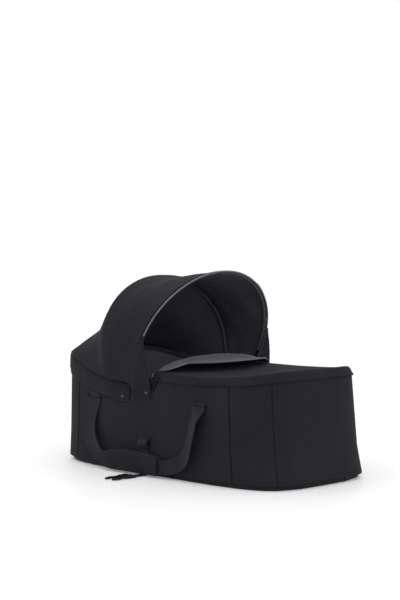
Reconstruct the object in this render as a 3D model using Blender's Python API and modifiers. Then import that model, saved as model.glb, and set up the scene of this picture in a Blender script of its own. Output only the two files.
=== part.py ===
"""Carrycot with a folding two-bow hood, a zipped apron and two carry handles.

Metres, +Z up. +X is the foot end, -X the head end with the hood, -Y the occupant's right-hand side.
The origin is on the floor at the middle of the base. Each object is one physical piece.
"""

import math

import bmesh
import bpy
from mathutils import Matrix, Vector

# Clearances
FIT = 0.0003            # gap that touching pieces keep
OVERRUN = 0.002         # how far a cutter runs past the face it cuts

# Outline of the base and of the cover's hem
BASE_HALF_LENGTH = 0.400
BASE_HALF_WIDTH = 0.205
HEM_OVERHANG = 0.010    # the cover's hem stands out past the moulded base
CORNER_POWER = 4.3      # 2 is an ellipse, large is a rectangle

# Wall: the foot end and the sides lean in from the hem to the rim, faster below the knee
HEM_HEIGHT = 0.012
RIM_LOW_HEIGHT = 0.242
RIM_LOW_X = 0.080
RIM_HEAD_RISE = 0.048
RIM_FOOT_RISE = 0.020
RIM_RISE_POWER = 2.6
FOOT_LEAN = 0.030
SIDE_LEAN = 0.009
KNEE_HEIGHT = 0.081
KNEE_LEAN_SHARE = 0.5

# Layers of the wall, from the outside in
COVER = 0.0022
BOARD = 0.0030
WADDING = 0.0062
LINING = 0.0016

# Seams of the outer cover
SIDE_SEAM_X = 0.262
HEAD_SEAM_X = -0.300
FOOT_SEAM_Y = 0.147
SEAM_GAP = 0.0006

# Moulded base
TRAY_FLANGE = 0.003
TRAY_FLANGE_TOP = 0.015
TRAY_FLOOR = 0.003
TRAY_CHAMFER = 0.003
TRAY_LIP = 0.010
TRAY_RIB = 0.003
TRAY_RIB_TOP = 0.012
TRAY_RIB_MARGIN = 0.009
TRAY_LONG_RIBS_Y = 0.090
TRAY_CROSS_RIB_PITCH = 0.140
BASE_BOARD = 0.003

# Top edge
FRAME_RADIUS = 0.005
BINDING_RADIUS = 0.003

# Mattress
MATTRESS_HEIGHT = 0.032
MATTRESS_CROWN = 0.008
MATTRESS_DRAW_IN = 0.005
MATTRESS_EDGE_POWER = 6         # how square the pad's edge is
MATTRESS_LONG_SHARES = (
    -1, -0.97, -0.88, -0.72, -0.54, -0.36, -0.18, 0, 0.18, 0.36, 0.54, 0.72, 0.88, 0.97, 1,
)
MATTRESS_CROSS_SHARES = (-1, -0.94, -0.8, -0.5, 0, 0.5, 0.8, 0.94, 1)
CHANNEL_PITCH = 0.150
CHANNEL_DEPTH = 0.004
CHANNEL_WIDTH = 0.018
MATTRESS_PLAY = 0.004

# Hood bows: each is an arch in a plane that leans from a foot point on each side
BOW_SIDE_POWER = 2.064
BOW_TOP_POWER = 2.806
BOW_BULGE = 0.267
BOW_EASE_SHARE = 0.35           # how much closer an arch's points stand at its shoulders
HOOD_FOOT_DROP = 0.003          # from the rim's low point down to the feet of the arches
FRONT_FOOT_X = -0.057
FRONT_LEAN = math.radians(22.1)
FRONT_HALF_WIDTH = 0.2219
FRONT_REACH = 0.2963
MID_FOOT_X = -0.1565
MID_LEAN = math.radians(-8.0)
MID_HALF_WIDTH = 0.2189
MID_REACH = 0.2601
BOW_RADIUS = 0.003
CANVAS = 0.0016
PIPING_RADIUS = 0.0022
PIPING_STEP = 0.003     # from the piping's centre to the canvas on each side
FRONT_SKIRT = 0.0095
MID_SKIRT = 0.0055
BOW_SEAM = 0.0012
BOW_SLACK = 0.0026
CANVAS_SAG = 0.003
FRONT_PANEL_SHARES = (0.0, 0.35, 0.7, 1.0)
REAR_PANEL_SHARES = (0.0, 0.25, 0.5, 0.75, 1.0)

# Hood hinge: both bows turn on one rivet at each side
PIVOT_DROP = 0.015
PLATE_RADIUS = 0.013
PLATE = 0.0020
TONGUE = 0.0024
TONGUE_HALF_WIDTH = 0.006
TONGUE_LENGTH = 0.024
RIVET_RADIUS = 0.0030
RIVET_HEAD_RADIUS = 0.0055
RIVET_HEAD = 0.0018
RIVET_CLEARANCE = 0.0005
HINGE_STEP = 0.0004
ARM_START_SHARE = 0.8           # of the eye's length, where a bow's tube starts
FRONT_TRIM = 0.0384             # the arch above this height joins the front bow's straight foot
MID_TRIM = 0.0288
FRONT_ARM_OUT = 0.0021          # from the eye's inner face out to the tube's centre
MID_ARM_OUT = 0.0030
MID_BEND_OUT = 0.0036
MID_BEND_X = 0.030              # the middle bow's foot runs back from the pivot, then up
MID_BEND_Z = 0.0105
MID_FAR_X = 0.070
MID_FAR_Z = 0.019
MID_FAR_OUT = 0.0012            # outward of the arch's foot, so that the foot folds past the band
MID_TURN_OUT = 0.0033
MID_TURN_X = 0.015

# Band round the head end
BAND = 0.0016
BAND_END_X = -0.082
BAND_END_DROP = 0.0155
BAND_HEIGHT = 0.050
BAND_SEAM = 0.0016
BAND_RISE = 0.0726
BAND_RISE_POWER = 1.6
BAND_END_STEPS = 4

# Front corner of the hood: gusset above, tab with a stud below
GUSSET_RISE = 0.110
GUSSET_DROP = 0.006
GUSSET_TOP_X = -0.0095
GUSSET_FOOT_X = 0.0045
GUSSET_HEIGHT_SHARES = (0.0, 0.08, 0.35, 0.7, 1.0)
GUSSET_WIDTH_SHARES = (0.0, 0.22, 0.62, 1.0)
TAB_DROP = 0.047
TAB_BACK_X = -0.079
TAB_LENGTH = 0.079
TAB_HEIGHT = 0.0338
TAB_ROW_SHARES = (
    ((0.0, 0.962), (0.304, 0.488), (0.646, 0.0), (0.937, 0.0)),
    ((0.114, 1.0), (0.367, 0.710), (0.658, 0.577), (1.0, 0.577)),
)

# Press studs
STUD_RADIUS = 0.0048
STUD = 0.0022
STUD_CROWN_SHARE = 0.7
BAND_STUD_X = -0.108
BAND_STUD_DROP = 0.050
TAB_STUD_X = -0.018
TAB_STUD_DROP = 0.034

# Apron over the foot half
APRON = 0.0020
APRON_SEAM = 0.0012
APRON_INSET = 0.0004
APRON_EDGE_X = 0.004
SHOULDER_HEIGHT = 0.018
SHOULDER_INSET = 0.012
APRON_SAG = 0.008
APRON_LIP_RISE = 0.018
APRON_LIP_LENGTH = 0.050
LIP_SHARES = (1.0, 0.55, 0.25, 0.0)
SHOULDER_SHARES = (0.0, 0.2, 0.5, 1.0)
FLAP = 0.0030
FLAP_LENGTH = 0.085
FLAP_HALF_WIDTH = 0.189
FLAP_ROLL_RISE = 0.018
FLAP_GAP = 0.0016
FLAP_FREE_GAP = 0.0090
FLAP_PLAN_POWER = 0.6           # how blunt the crescent's ends are
FLAP_TIP_POWER = 6              # how far its thickness reaches to the ends
FLAP_EDGE_POWER = 8             # how square its long edges are
FLAP_LONG_SHARES = (0.0, 0.04, 0.14, 0.35, 0.6, 0.85, 1.0)
FLAP_CROSS_SHARES = (-1, -0.97, -0.88, -0.7, -0.45, -0.2, 0, 0.2, 0.45, 0.7, 0.88, 0.97, 1)

# Zip
ZIP_HALF_WIDTH = 0.0028
ZIP = 0.0014
ZIP_TAIL_X = 0.0062
ZIP_TAIL_DROP = 0.029
ZIP_TAIL_RISE = 0.018
SLIDER_HEIGHT = 0.010
SLIDER_WIDTH = 0.008
SLIDER = 0.0034
PULL_LENGTH = 0.022
PULL_WIDTH = 0.0048
PULL = 0.0012
PULL_HEEL_SHARE = 0.7

# Carry handles: a long strap in a U down each side, its grip in a padded sleeve at the floor
STRAP = 0.0030
STRAP_HEAD_X = -0.2295
STRAP_HEAD_DROP = 0.062
STRAP_FOOT_X = 0.173
STRAP_FOOT_DROP = 0.053
STRAP_HEAD_WIDTH = 0.066
STRAP_GRIP_WIDTH = 0.036
STRAP_FOOT_WIDTH = 0.043
STRAP_STAND_OFF = 0.0020
GRIP_CENTRE_Z = 0.0300
GRIP_WIDTH = 0.050
GRIP_DEPTH = 0.020
GRIP_ROUND_SHARE = 0.7
GRIP_HEAD_X = -0.150
GRIP_FOOT_X = 0.048
GRIP_STAND_OFF = 0.0135
GRIP_LEAN_OUT = 0.008
GRIP_LEAD_SHARE = 0.235         # of the span, how far before the foot end the strap leaves the floor
SLEEVE_SIDES = 16
HEAD_FALL_SHARES = (
    # along the span, of the end's height, standing off, of the end's width
    (0.0, 1.0, 0.0, 1.0),
    (-0.018, 0.80, 0.15, 0.94),
    (-0.005, 0.58, 0.4, 0.80),
    (0.050, 0.38, 0.8, 0.66),
    (0.120, 0.23, 1.0, 0.58),
)
FOOT_FALL_SHARES = (
    (0.130, 0.24, 1.0, 0.90),
    (0.065, 0.38, 0.9, 1.0),
    (0.042, 0.58, 0.7, 1.0),
    (0.022, 0.80, 0.35, 1.0),
    (0.0, 1.0, 0.0, 1.0),
)
ANCHOR = 0.0016
ANCHOR_HEIGHT = 0.008
ANCHOR_LIFT = 0.0042            # room above the strap's end for its edge to swing past

# Chassis strap, its loop tab and its clip
WEBBING = 0.0016
WEBBING_HALF_WIDTH = 0.0130
WEBBING_BEND = 0.0048
CHASSIS_X = -0.0185
CHASSIS_TOP_Z = 0.066
TAB_HALF_WIDTH = 0.0170
LOOP_LOW_Z = 0.0680
LOOP_TOP_Z = 0.0960
LOOP_DEPTH = 0.0120
LOOP_FLANGE = 0.0047
LOOP_ROUND_POWER = 0.6
CLIP_BAR_Y = 0.262
CLIP_BAR_RADIUS = 0.0016
CLIP_BAR_CLEARANCE = 0.0004
CLIP_BODY_LENGTH = 0.026
CLIP_HALF_WIDTH = 0.0190
CLIP_THICKNESS = 0.0064
CLIP_PRONG_LENGTH = 0.042
CLIP_PRONG_WIDTH = 0.0052
CLIP_BARB = 0.0036
CLIP_GUIDE_WIDTH = 0.0060
CLIP_GUIDE_LENGTH = 0.026
CLIP_CHEEK = 0.0050
CLIP_CHEEK_SHARE = 0.98         # of the clip's thickness
CLIP_GUIDE_SHARE = 0.6
CLIP_PRONG_SHARE = 0.7
CLIP_SHOULDER_SHARE = 0.62      # of the body's length, where its sides start to taper
CLIP_BACK = 0.0050
PRONG_SHARES = (
    # of the prong's width, of the barb, of the prong's length
    (1.1, 0.0, 0.30),
    (1.0, 1.0, 0.42),
    (1.0, 1.0, 0.62),
    (0.6, 0.0, 1.0),
    (0.0, 0.0, 0.91),
    (0.2, 0.0, 0.40),
)

# How finely curved pieces are faceted
SIDE_STEPS = 8
CORNER_STEPS = 8
FOOT_STEPS = 4
HEAD_STEPS = 18
BOW_STEPS = 30
ROUND_STEPS = 20
BAR_STEPS = 12
TUBE_SIDES = 8
TUBE_RESOLUTION = 1
BEND_STEPS = 3
LOOP_STEPS = 12
LOOP_TAB_STEPS = 8
FINE_STEPS = 40
TUCK_STATIONS = 5
CLOSE_TURN = 0.02
LOOP_WRAP = math.radians(315)
SHARP_ANGLE = math.radians(35)

SIDES = (("right", -1), ("left", 1))
PARTS_NAME = "carrycot"


def clear_scene():
    for old in list(bpy.data.objects):
        bpy.data.objects.remove(old, do_unlink=True)


def collection(name, hidden=False):
    made = bpy.data.collections.new(name)
    bpy.context.scene.collection.children.link(made)
    made.hide_render = hidden
    return made


def finish(name, colour, roughness, metallic=0.0):
    """A plain surface finish, its colour in linear light."""
    made = bpy.data.materials.new(name)
    made.use_nodes = True
    shader = made.node_tree.nodes["Principled BSDF"]
    shader.inputs["Base Color"].default_value = (*colour, 1.0)
    shader.inputs["Roughness"].default_value = roughness
    shader.inputs["Metallic"].default_value = metallic
    return made


FINISHES = {
    "cover": ((0.022, 0.021, 0.026), 0.85, 0.0),
    "canvas": ((0.030, 0.029, 0.034), 0.80, 0.0),
    "lining": ((0.060, 0.060, 0.068), 0.75, 0.0),
    "satin": ((0.085, 0.088, 0.100), 0.45, 0.0),
    "piping": ((0.240, 0.240, 0.260), 0.50, 0.0),
    "webbing": ((0.026, 0.025, 0.030), 0.70, 0.0),
    "board": ((0.300, 0.300, 0.300), 0.60, 0.0),
    "wadding": ((0.700, 0.700, 0.700), 0.95, 0.0),
    "moulding": ((0.012, 0.012, 0.013), 0.45, 0.0),
    "steel": ((0.450, 0.450, 0.470), 0.30, 1.0),
}


def own_finish(kind, name):
    colour, roughness, metallic = FINISHES[kind]
    return finish(f"{name}_{kind}", colour, roughness, metallic)


def add(name, mesh, kind):
    """Puts a mesh in the parts collection as one named piece with its own finish."""
    piece = bpy.data.objects.new(name, mesh)
    mesh.materials.clear()
    mesh.materials.append(own_finish(kind, name))
    PARTS.objects.link(piece)
    mesh.shade_smooth()
    mesh.set_sharp_from_angle(angle=SHARP_ANGLE)
    return piece


def mesh_of(name, build):
    """A mesh made by a function that fills a bmesh."""
    made = bpy.data.meshes.new(name)
    work = bmesh.new()
    build(work)
    bmesh.ops.remove_doubles(work, verts=work.verts, dist=FIT / 10)
    bmesh.ops.recalc_face_normals(work, faces=work.faces)
    work.to_mesh(made)
    work.free()
    return made


def add_grid(work, rows, closed_rows=False, closed_across=False):
    """Quads between rows of points; a closed grid joins its last row or column to its first."""
    made = [[work.verts.new(point) for point in row] for row in rows]
    for i in range(len(made) - (0 if closed_across else 1)):
        row, following = made[i], made[(i + 1) % len(made)]
        count = len(row)
        for j in range(count - (0 if closed_rows else 1)):
            k = (j + 1) % count
            work.faces.new((row[j], row[k], following[k], following[j]))
    return made


def wall(piece, thickness, offset):
    """Gives an open surface its thickness: offset -1 keeps the drawn face outermost, 0 is centred."""
    solid = piece.modifiers.new("wall", "SOLIDIFY")
    solid.thickness = thickness
    solid.offset = offset
    solid.use_even_offset = True
    return piece


def sheet(name, rows, thickness, kind, offset=-1, closed_rows=False, outward=None):
    """A sheet through rows of points. The drawn face looks along outward, a function of its centre."""
    surface = mesh_of(name, lambda work: add_grid(work, rows, closed_rows))
    turn_to(surface, outward)
    return wall(add(name, surface, kind), thickness, offset)


def turn_to(surface, outward):
    """Turns the faces of an open surface so that they look the way that outward says."""
    work = bmesh.new()
    work.from_mesh(surface)
    score = sum(face.normal.dot(outward(face.calc_center_median())) * face.calc_area() for face in work.faces)
    if score < 0:
        bmesh.ops.reverse_faces(work, faces=work.faces)
    work.to_mesh(surface)
    work.free()


def loft(name, rings, kind):
    """A closed solid through closed rings of points, with both ends capped."""
    def build(work):
        made = add_grid(work, rings, closed_rows=True)
        work.faces.new(made[0])
        work.faces.new(made[-1])
    return add(name, mesh_of(name, build), kind)


def tube(name, points, radius, kind, closed=False):
    """A round tube along points, made a mesh with its caps welded."""
    curve = bpy.data.curves.new(name, "CURVE")
    curve.dimensions = "3D"
    curve.bevel_depth = radius
    curve.bevel_resolution = TUBE_RESOLUTION
    curve.use_fill_caps = not closed
    spline = curve.splines.new("POLY")
    spline.points.add(len(points) - 1)
    for slot, point in zip(spline.points, points):
        slot.co = (*point, 1.0)
    spline.use_cyclic_u = closed
    route = bpy.data.objects.new(name, curve)
    PARTS.objects.link(route)
    evaluated = route.evaluated_get(bpy.context.evaluated_depsgraph_get())
    made = bpy.data.meshes.new_from_object(evaluated)
    bpy.data.objects.remove(route)
    bpy.data.curves.remove(curve)
    work = bmesh.new()
    work.from_mesh(made)
    bmesh.ops.remove_doubles(work, verts=work.verts, dist=FIT / 10)
    bmesh.ops.recalc_face_normals(work, faces=work.faces)
    work.to_mesh(made)
    work.free()
    return add(name, made, kind)


def hang_on(piece, pivot):
    """Moves a piece's origin to the point that it turns about, and leaves its shape where it is."""
    pivot = Vector(pivot)
    piece.data.transform(Matrix.Translation(-pivot))
    piece.location = pivot
    return piece


def boolean(piece, other, operation):
    cut = piece.modifiers.new(operation.lower(), "BOOLEAN")
    cut.operation = operation
    cut.solver = "EXACT"
    cut.object = other
    return piece


def cutter(name, mesh):
    made = bpy.data.objects.new(name, mesh)
    CUTTERS.objects.link(made)
    made.hide_render = True
    made.display_type = "WIRE"
    return made


def applied(piece):
    """Makes the modifiers of a piece part of its mesh."""
    evaluated = piece.evaluated_get(bpy.context.evaluated_depsgraph_get())
    made = bpy.data.meshes.new_from_object(evaluated)
    piece.modifiers.clear()
    piece.data = made
    return piece


def box_mesh(name, low, high):
    """A box between two corners."""
    middle = (Vector(low) + Vector(high)) / 2
    size = Vector(high) - Vector(low)
    place = Matrix.Translation(middle) @ Matrix.Diagonal((*size, 1.0))
    return mesh_of(name, lambda work: bmesh.ops.create_cube(work, size=1.0, matrix=place))


def add_cylinder(work, centre, radius, length, axis="Y", segments=ROUND_STEPS):
    turn = {"X": Matrix.Rotation(math.pi / 2, 4, "Y"), "Y": Matrix.Rotation(math.pi / 2, 4, "X")}[axis]
    place = Matrix.Translation(centre) @ turn
    bmesh.ops.create_cone(
        work, cap_ends=True, segments=segments, radius1=radius, radius2=radius, depth=length, matrix=place
    )


# Shape of the wall

def signed_power(value, power):
    return math.copysign(abs(value) ** power, value)


def rim_height(x):
    """Height of the top edge, lowest beside the apron and swept up to the head and foot."""
    if x < RIM_LOW_X:
        share = (RIM_LOW_X - x) / (HEM_HALF_LENGTH + RIM_LOW_X)
        return RIM_LOW_HEIGHT + RIM_HEAD_RISE * share**RIM_RISE_POWER
    share = (x - RIM_LOW_X) / (HEM_HALF_LENGTH - FOOT_LEAN - RIM_LOW_X)
    return RIM_LOW_HEIGHT + RIM_FOOT_RISE * share**RIM_RISE_POWER


def lean_share(z):
    """How much of its lean the wall has at a height; it is straight above and below the knee."""
    if z < KNEE_HEIGHT:
        return KNEE_LEAN_SHARE * max(z - HEM_HEIGHT, 0.0) / (KNEE_HEIGHT - HEM_HEIGHT)
    upper = (z - KNEE_HEIGHT) / (RIM_LOW_HEIGHT - KNEE_HEIGHT)
    return KNEE_LEAN_SHARE + (1.0 - KNEE_LEAN_SHARE) * upper


def half_sizes(z, toe):
    """Half-length and half-width of the outer cover at a height, for the foot half or the head half."""
    lean = lean_share(z)
    half_length = HEM_HALF_LENGTH - (FOOT_LEAN * lean if toe else 0.0)
    return half_length, HEM_HALF_WIDTH - SIDE_LEAN * lean


def wall_point(turn, z, offset=0.0):
    """A point on the cover's outer face, moved out by offset. Turn 0 is the foot end, pi the head end."""
    toe = math.cos(turn) >= 0
    half_length, half_width = half_sizes(z, toe)
    across = signed_power(math.cos(turn), 2 / CORNER_POWER)
    side = signed_power(math.sin(turn), 2 / CORNER_POWER)
    normal = Vector((
        signed_power(across, CORNER_POWER - 1) / half_length,
        signed_power(side, CORNER_POWER - 1) / half_width,
        0.0,
    )).normalized()
    return Vector((half_length * across, half_width * side, z)) + normal * offset


def side_y(x, z):
    """Half-width of the outer cover beside a point of the long wall."""
    half_length, half_width = half_sizes(z, x >= 0)
    return half_width * (1 - (abs(x) / half_length) ** CORNER_POWER) ** (1 / CORNER_POWER)


def turn_at_x(x, sign):
    """Turn of the wall station that stands at x near the rim."""
    half_length = half_sizes(RIM_LOW_HEIGHT, x >= 0)[0]
    quarter = math.acos((abs(x) / half_length) ** (CORNER_POWER / 2))
    return sign * (quarter if x >= 0 else math.pi - quarter)


def turn_at_y(y):
    half_width = half_sizes(RIM_LOW_HEIGHT, True)[1]
    return math.copysign(math.asin((abs(y) / half_width) ** (CORNER_POWER / 2)), y)


def spaced_turns(start, end, steps):
    """Turns from start to end, evenly spaced along the wall."""
    fine = FINE_STEPS * steps
    turns = [start + (end - start) * i / fine for i in range(fine + 1)]
    points = [wall_point(turn, RIM_LOW_HEIGHT) for turn in turns]
    lengths = [0.0]
    for before, after in zip(points, points[1:]):
        lengths.append(lengths[-1] + (after - before).length)
    found = []
    place = 0
    for i in range(steps + 1):
        target = lengths[-1] * i / steps
        while place < fine and lengths[place + 1] < target:
            place += 1
        step = lengths[place + 1] - lengths[place] if place < fine else 1.0
        part = (target - lengths[place]) / step if place < fine else 0.0
        found.append(start + (end - start) * (place + part) / fine)
    return found


def panel_turns():
    """Stations of each cover panel, in order round the wall from the right-hand side."""
    side = turn_at_x(SIDE_SEAM_X, 1)
    foot = turn_at_y(FOOT_SEAM_Y)
    head = turn_at_x(HEAD_SEAM_X, 1)
    return {
        "right_side_cover": spaced_turns(-head, -side, SIDE_STEPS),
        "right_foot_corner_cover": spaced_turns(-side, -foot, CORNER_STEPS),
        "foot_cover": spaced_turns(-foot, foot, FOOT_STEPS),
        "left_foot_corner_cover": spaced_turns(foot, side, CORNER_STEPS),
        "left_side_cover": spaced_turns(side, head, SIDE_STEPS),
        "head_cover": spaced_turns(head, 2 * math.pi - head, HEAD_STEPS),
    }


def ring_turns(panels):
    """Every station once, all the way round."""
    return [turn for turns in panels.values() for turn in turns[:-1]]


def layer_section(turn, low, drop, outer, thickness):
    """Section of a wall layer at one station: up its outer face and down its inner one."""
    top = rim_height(wall_point(turn, RIM_LOW_HEIGHT).x) - drop
    heights = (low, KNEE_HEIGHT, top)
    outside = [wall_point(turn, z, -outer) for z in heights]
    inside = [wall_point(turn, z, -outer - thickness) for z in heights]
    return outside + inside[::-1]


def outward_from_axis(centre):
    return Vector((centre.x, centre.y, 0.0))


def ring_at(turns, z, offset):
    """A level ring that follows the wall at a height."""
    return [wall_point(turn, z, offset) for turn in turns]


# Shell

def make_cover(panels):
    for name, turns in panels.items():
        first = wall_point(turns[0], RIM_LOW_HEIGHT)
        step = SEAM_GAP / 2 * (turns[1] - turns[0]) / (wall_point(turns[1], RIM_LOW_HEIGHT) - first).length
        shrunk = [turns[0] + step] + turns[1:-1] + [turns[-1] - step]
        loft(name, [layer_section(turn, HEM_HEIGHT, 0.0, 0.0, COVER) for turn in shrunk], "cover")


def make_base_tray(turns):
    """Moulded tray: a flat floor, an upstand and a flange that carries the wall, with ribs inside."""
    flange_edge = COVER + FIT
    upstand = HEM_OVERHANG + TRAY_LIP
    section = (
        (HEM_OVERHANG + TRAY_CHAMFER, 0.0),
        (HEM_OVERHANG, TRAY_CHAMFER),
        (HEM_OVERHANG, TRAY_FLANGE_TOP - TRAY_FLANGE - FIT),
        (flange_edge, TRAY_FLANGE_TOP - TRAY_FLANGE),
        (flange_edge, TRAY_FLANGE_TOP),
        (upstand, TRAY_FLANGE_TOP),
        (upstand + TRAY_RIB, TRAY_FLOOR),
    )
    rings = [ring_at(turns, z, -inset) for inset, z in section]
    tray = loft("base_tray", rings, "moulding")
    long_reach = BASE_HALF_LENGTH - TRAY_LIP - TRAY_CROSS_RIB_PITCH / 2
    for y in (-TRAY_LONG_RIBS_Y, TRAY_LONG_RIBS_Y):
        low = (-long_reach, y - TRAY_RIB / 2, TRAY_FLOOR / 2)
        high = (long_reach, y + TRAY_RIB / 2, TRAY_RIB_TOP)
        boolean(tray, cutter("long_rib", box_mesh("long_rib", low, high)), "UNION")
    cross_reach = BASE_HALF_WIDTH - TRAY_LIP - TRAY_RIB_MARGIN
    count = int(long_reach / TRAY_CROSS_RIB_PITCH)
    for i in range(-count, count + 1):
        x = i * TRAY_CROSS_RIB_PITCH
        low = (x - TRAY_RIB / 2, -cross_reach, TRAY_FLOOR / 2)
        high = (x + TRAY_RIB / 2, cross_reach, TRAY_RIB_TOP)
        boolean(tray, cutter("cross_rib", box_mesh("cross_rib", low, high)), "UNION")
    return tray


def make_base_board(turns):
    inset = HEM_OVERHANG + TRAY_LIP + TRAY_RIB + FIT
    low = TRAY_RIB_TOP + FIT
    rings = [ring_at(turns, z, -inset) for z in (low, low + BASE_BOARD)]
    return loft("base_board", rings, "board")


def closed_layer(name, turns, low, drop, outer, thickness, kind):
    """One layer of the wall, closed all the way round."""
    sections = [layer_section(turn, low, drop, outer, thickness) for turn in turns]
    return add(name, mesh_of(name, lambda work: add_grid(work, sections, True, True)), kind)


def make_wall_layers(turns):
    board_outer = COVER + FIT
    wadding_outer = board_outer + BOARD + FIT
    frame_bottom = 2 * FRAME_RADIUS + FIT
    closed_layer("wall_board", turns, TRAY_FLANGE_TOP + FIT, frame_bottom, board_outer, BOARD, "board")
    closed_layer("wadding", turns, TRAY_FLANGE_TOP + FIT, frame_bottom, wadding_outer, WADDING, "wadding")
    rings = []
    for inset, low in ((LINING_OUTER, LINING_FLOOR), (LINING_OUTER + LINING, LINING_FLOOR + LINING)):
        layer = [ring_at(turns, low, -inset), ring_at(turns, KNEE_HEIGHT, -inset)]
        top = []
        for turn in turns:
            rim = rim_height(wall_point(turn, RIM_LOW_HEIGHT).x)
            top.append(wall_point(turn, rim - BINDING_RADIUS, -inset))
        rings.append(layer + [top])
    return loft("lining", rings[0] + rings[1][::-1], "lining")


def make_top_edge(turns):
    frame_inset = COVER + FIT + FRAME_RADIUS
    facet_share = math.cos(math.pi / TUBE_SIDES)
    frame = []
    binding = []
    for turn in turns:
        top = rim_height(wall_point(turn, RIM_LOW_HEIGHT).x)
        frame.append(wall_point(turn, top - FRAME_RADIUS, -frame_inset))
        seat = top - FRAME_RADIUS + (FRAME_RADIUS + BINDING_RADIUS) * facet_share + FIT
        binding.append(wall_point(turn, seat, -frame_inset))
    tube("rim_frame", frame, FRAME_RADIUS, "steel", closed=True)
    tube("rim_binding", binding, BINDING_RADIUS, "piping", closed=True)


# Patches with four curved edges

def patch(low_edge, high_edge, start_edge, end_edge):
    """Points of a Coons patch: low and high run along the rows, start and end join their ends."""
    rows = []
    last_row = len(start_edge) - 1
    last_column = len(low_edge) - 1
    for i in range(last_row + 1):
        v = edge_share(start_edge, i)
        row = []
        for j in range(last_column + 1):
            u = edge_share(low_edge, j)
            ruled = low_edge[j] * (1 - v) + high_edge[j] * v + start_edge[i] * (1 - u) + end_edge[i] * u
            low_chord = low_edge[0].lerp(low_edge[-1], u)
            high_chord = high_edge[0].lerp(high_edge[-1], u)
            row.append(ruled - low_chord.lerp(high_chord, v))
        rows.append(row)
    return rows


def edge_share(edge, index):
    """How far along an edge a point lies, as a share of the edge's length."""
    total = sum((b - a).length for a, b in zip(edge, edge[1:]))
    return sum((b - a).length for a, b in zip(edge[:index], edge[1:index + 1])) / total


def make_mattress():
    """A crowned pad with drawn-in sides and sewn channels across it."""
    inset = LINING_OUTER + LINING + MATTRESS_PLAY
    half_length = HEM_HALF_LENGTH - inset - FOOT_LEAN * lean_share(LINING_FLOOR + MATTRESS_HEIGHT)
    half_width = HEM_HALF_WIDTH - inset - SIDE_LEAN
    floor = LINING_FLOOR + LINING + FIT
    quarter = math.pi / 4

    def plan(u, v):
        """Even grid of the outline: corners of the grid lie on the rounded corners."""
        x = half_length * math.sin(quarter * u) / math.sin(quarter)
        y = half_width * math.sin(quarter * v) / math.sin(quarter)
        pull = 1 - (1 - 0.5 ** (1 / CORNER_POWER)) * (abs(u) * abs(v)) ** CORNER_POWER
        drawn = 1 - MATTRESS_DRAW_IN / half_width * (1 - u * u) * abs(v) ** CORNER_POWER
        return x * pull, y * pull * drawn

    def top_height(x, u, v):
        edge = max(abs(u), abs(v)) ** 2
        crown = MATTRESS_CROWN * math.sqrt((1 - u * u) * (1 - v * v))
        wave = math.cos(math.pi * x / CHANNEL_PITCH) ** 2
        sewn = CHANNEL_DEPTH * math.exp(-wave * (CHANNEL_PITCH / CHANNEL_WIDTH / math.pi) ** 2)
        shoulder = math.sqrt(1 - min(edge, 1.0) ** MATTRESS_EDGE_POWER)
        return floor + MATTRESS_HEIGHT / 2 + (MATTRESS_HEIGHT / 2 + crown - sewn) * shoulder

    top = []
    bottom = []
    for v in MATTRESS_CROSS_SHARES:
        top_row = []
        bottom_row = []
        for u in MATTRESS_LONG_SHARES:
            x, y = plan(u, v)
            z = top_height(x, u, v)
            top_row.append(Vector((x, y, z)))
            depth = min(z - floor, MATTRESS_HEIGHT / 2)
            low = floor if max(abs(u), abs(v)) < 1 else floor + depth
            bottom_row.append(Vector((x, y, low)))
        top.append(top_row)
        bottom.append(bottom_row)

    def build(work):
        add_grid(work, top)
        add_grid(work, bottom)
    return add("mattress", mesh_of("mattress", build), "lining")


# Hood

def bow_point(foot, lean, half_width, reach, turn, inset=0.0):
    """A point of a bow's arch. Turn 0 is the right-hand foot and pi the left; below 0 is the skirt."""
    width = half_width - inset
    height = reach - inset
    rise = height * abs(math.sin(turn)) ** (2 / BOW_TOP_POWER)
    share = rise / height
    y = -width * signed_power(math.cos(turn), 2 / BOW_SIDE_POWER) * (1 + BOW_BULGE * share * (1 - share))
    return Vector((foot[0] + rise * math.sin(lean), y, foot[1] + rise * math.cos(lean)))


def along_bow(lean, point, distance):
    """Moves a point down the bow's plane."""
    return point - Vector((math.sin(lean), 0.0, math.cos(lean))) * distance


def bow_turns():
    """Turns that space an arch's points evenly enough, from foot to foot."""
    found = []
    for i in range(BOW_STEPS + 1):
        share = i / BOW_STEPS
        wave = math.sin(4 * math.pi * share) / (4 * math.pi)
        found.append(math.pi * (share - wave * BOW_EASE_SHARE))
    return found


def bow_line(foot, lean, half_width, reach, inset=0.0, skirt=0.0):
    line = [bow_point(foot, lean, half_width, reach, turn, inset) for turn in bow_turns()]
    if skirt:
        line = [along_bow(lean, line[0], skirt)] + line + [along_bow(lean, line[-1], skirt)]
    return line


def front_line(inset=0.0, skirt=0.0):
    return bow_line(FRONT_FOOT, FRONT_LEAN, FRONT_HALF_WIDTH, FRONT_REACH, inset, skirt)


def mid_line(inset=0.0, skirt=0.0):
    return bow_line(MID_FOOT, MID_LEAN, MID_HALF_WIDTH, MID_REACH, inset, skirt)


def outward_from_hood(centre):
    return centre - Vector((MID_FOOT[0], 0.0, MID_FOOT[1]))


def shifted(line, lean, distance):
    """A bow's line moved square to its plane, forward where distance is positive."""
    step = Vector((math.cos(lean), 0.0, -math.sin(lean))) * distance
    return [point + step for point in line]


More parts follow.
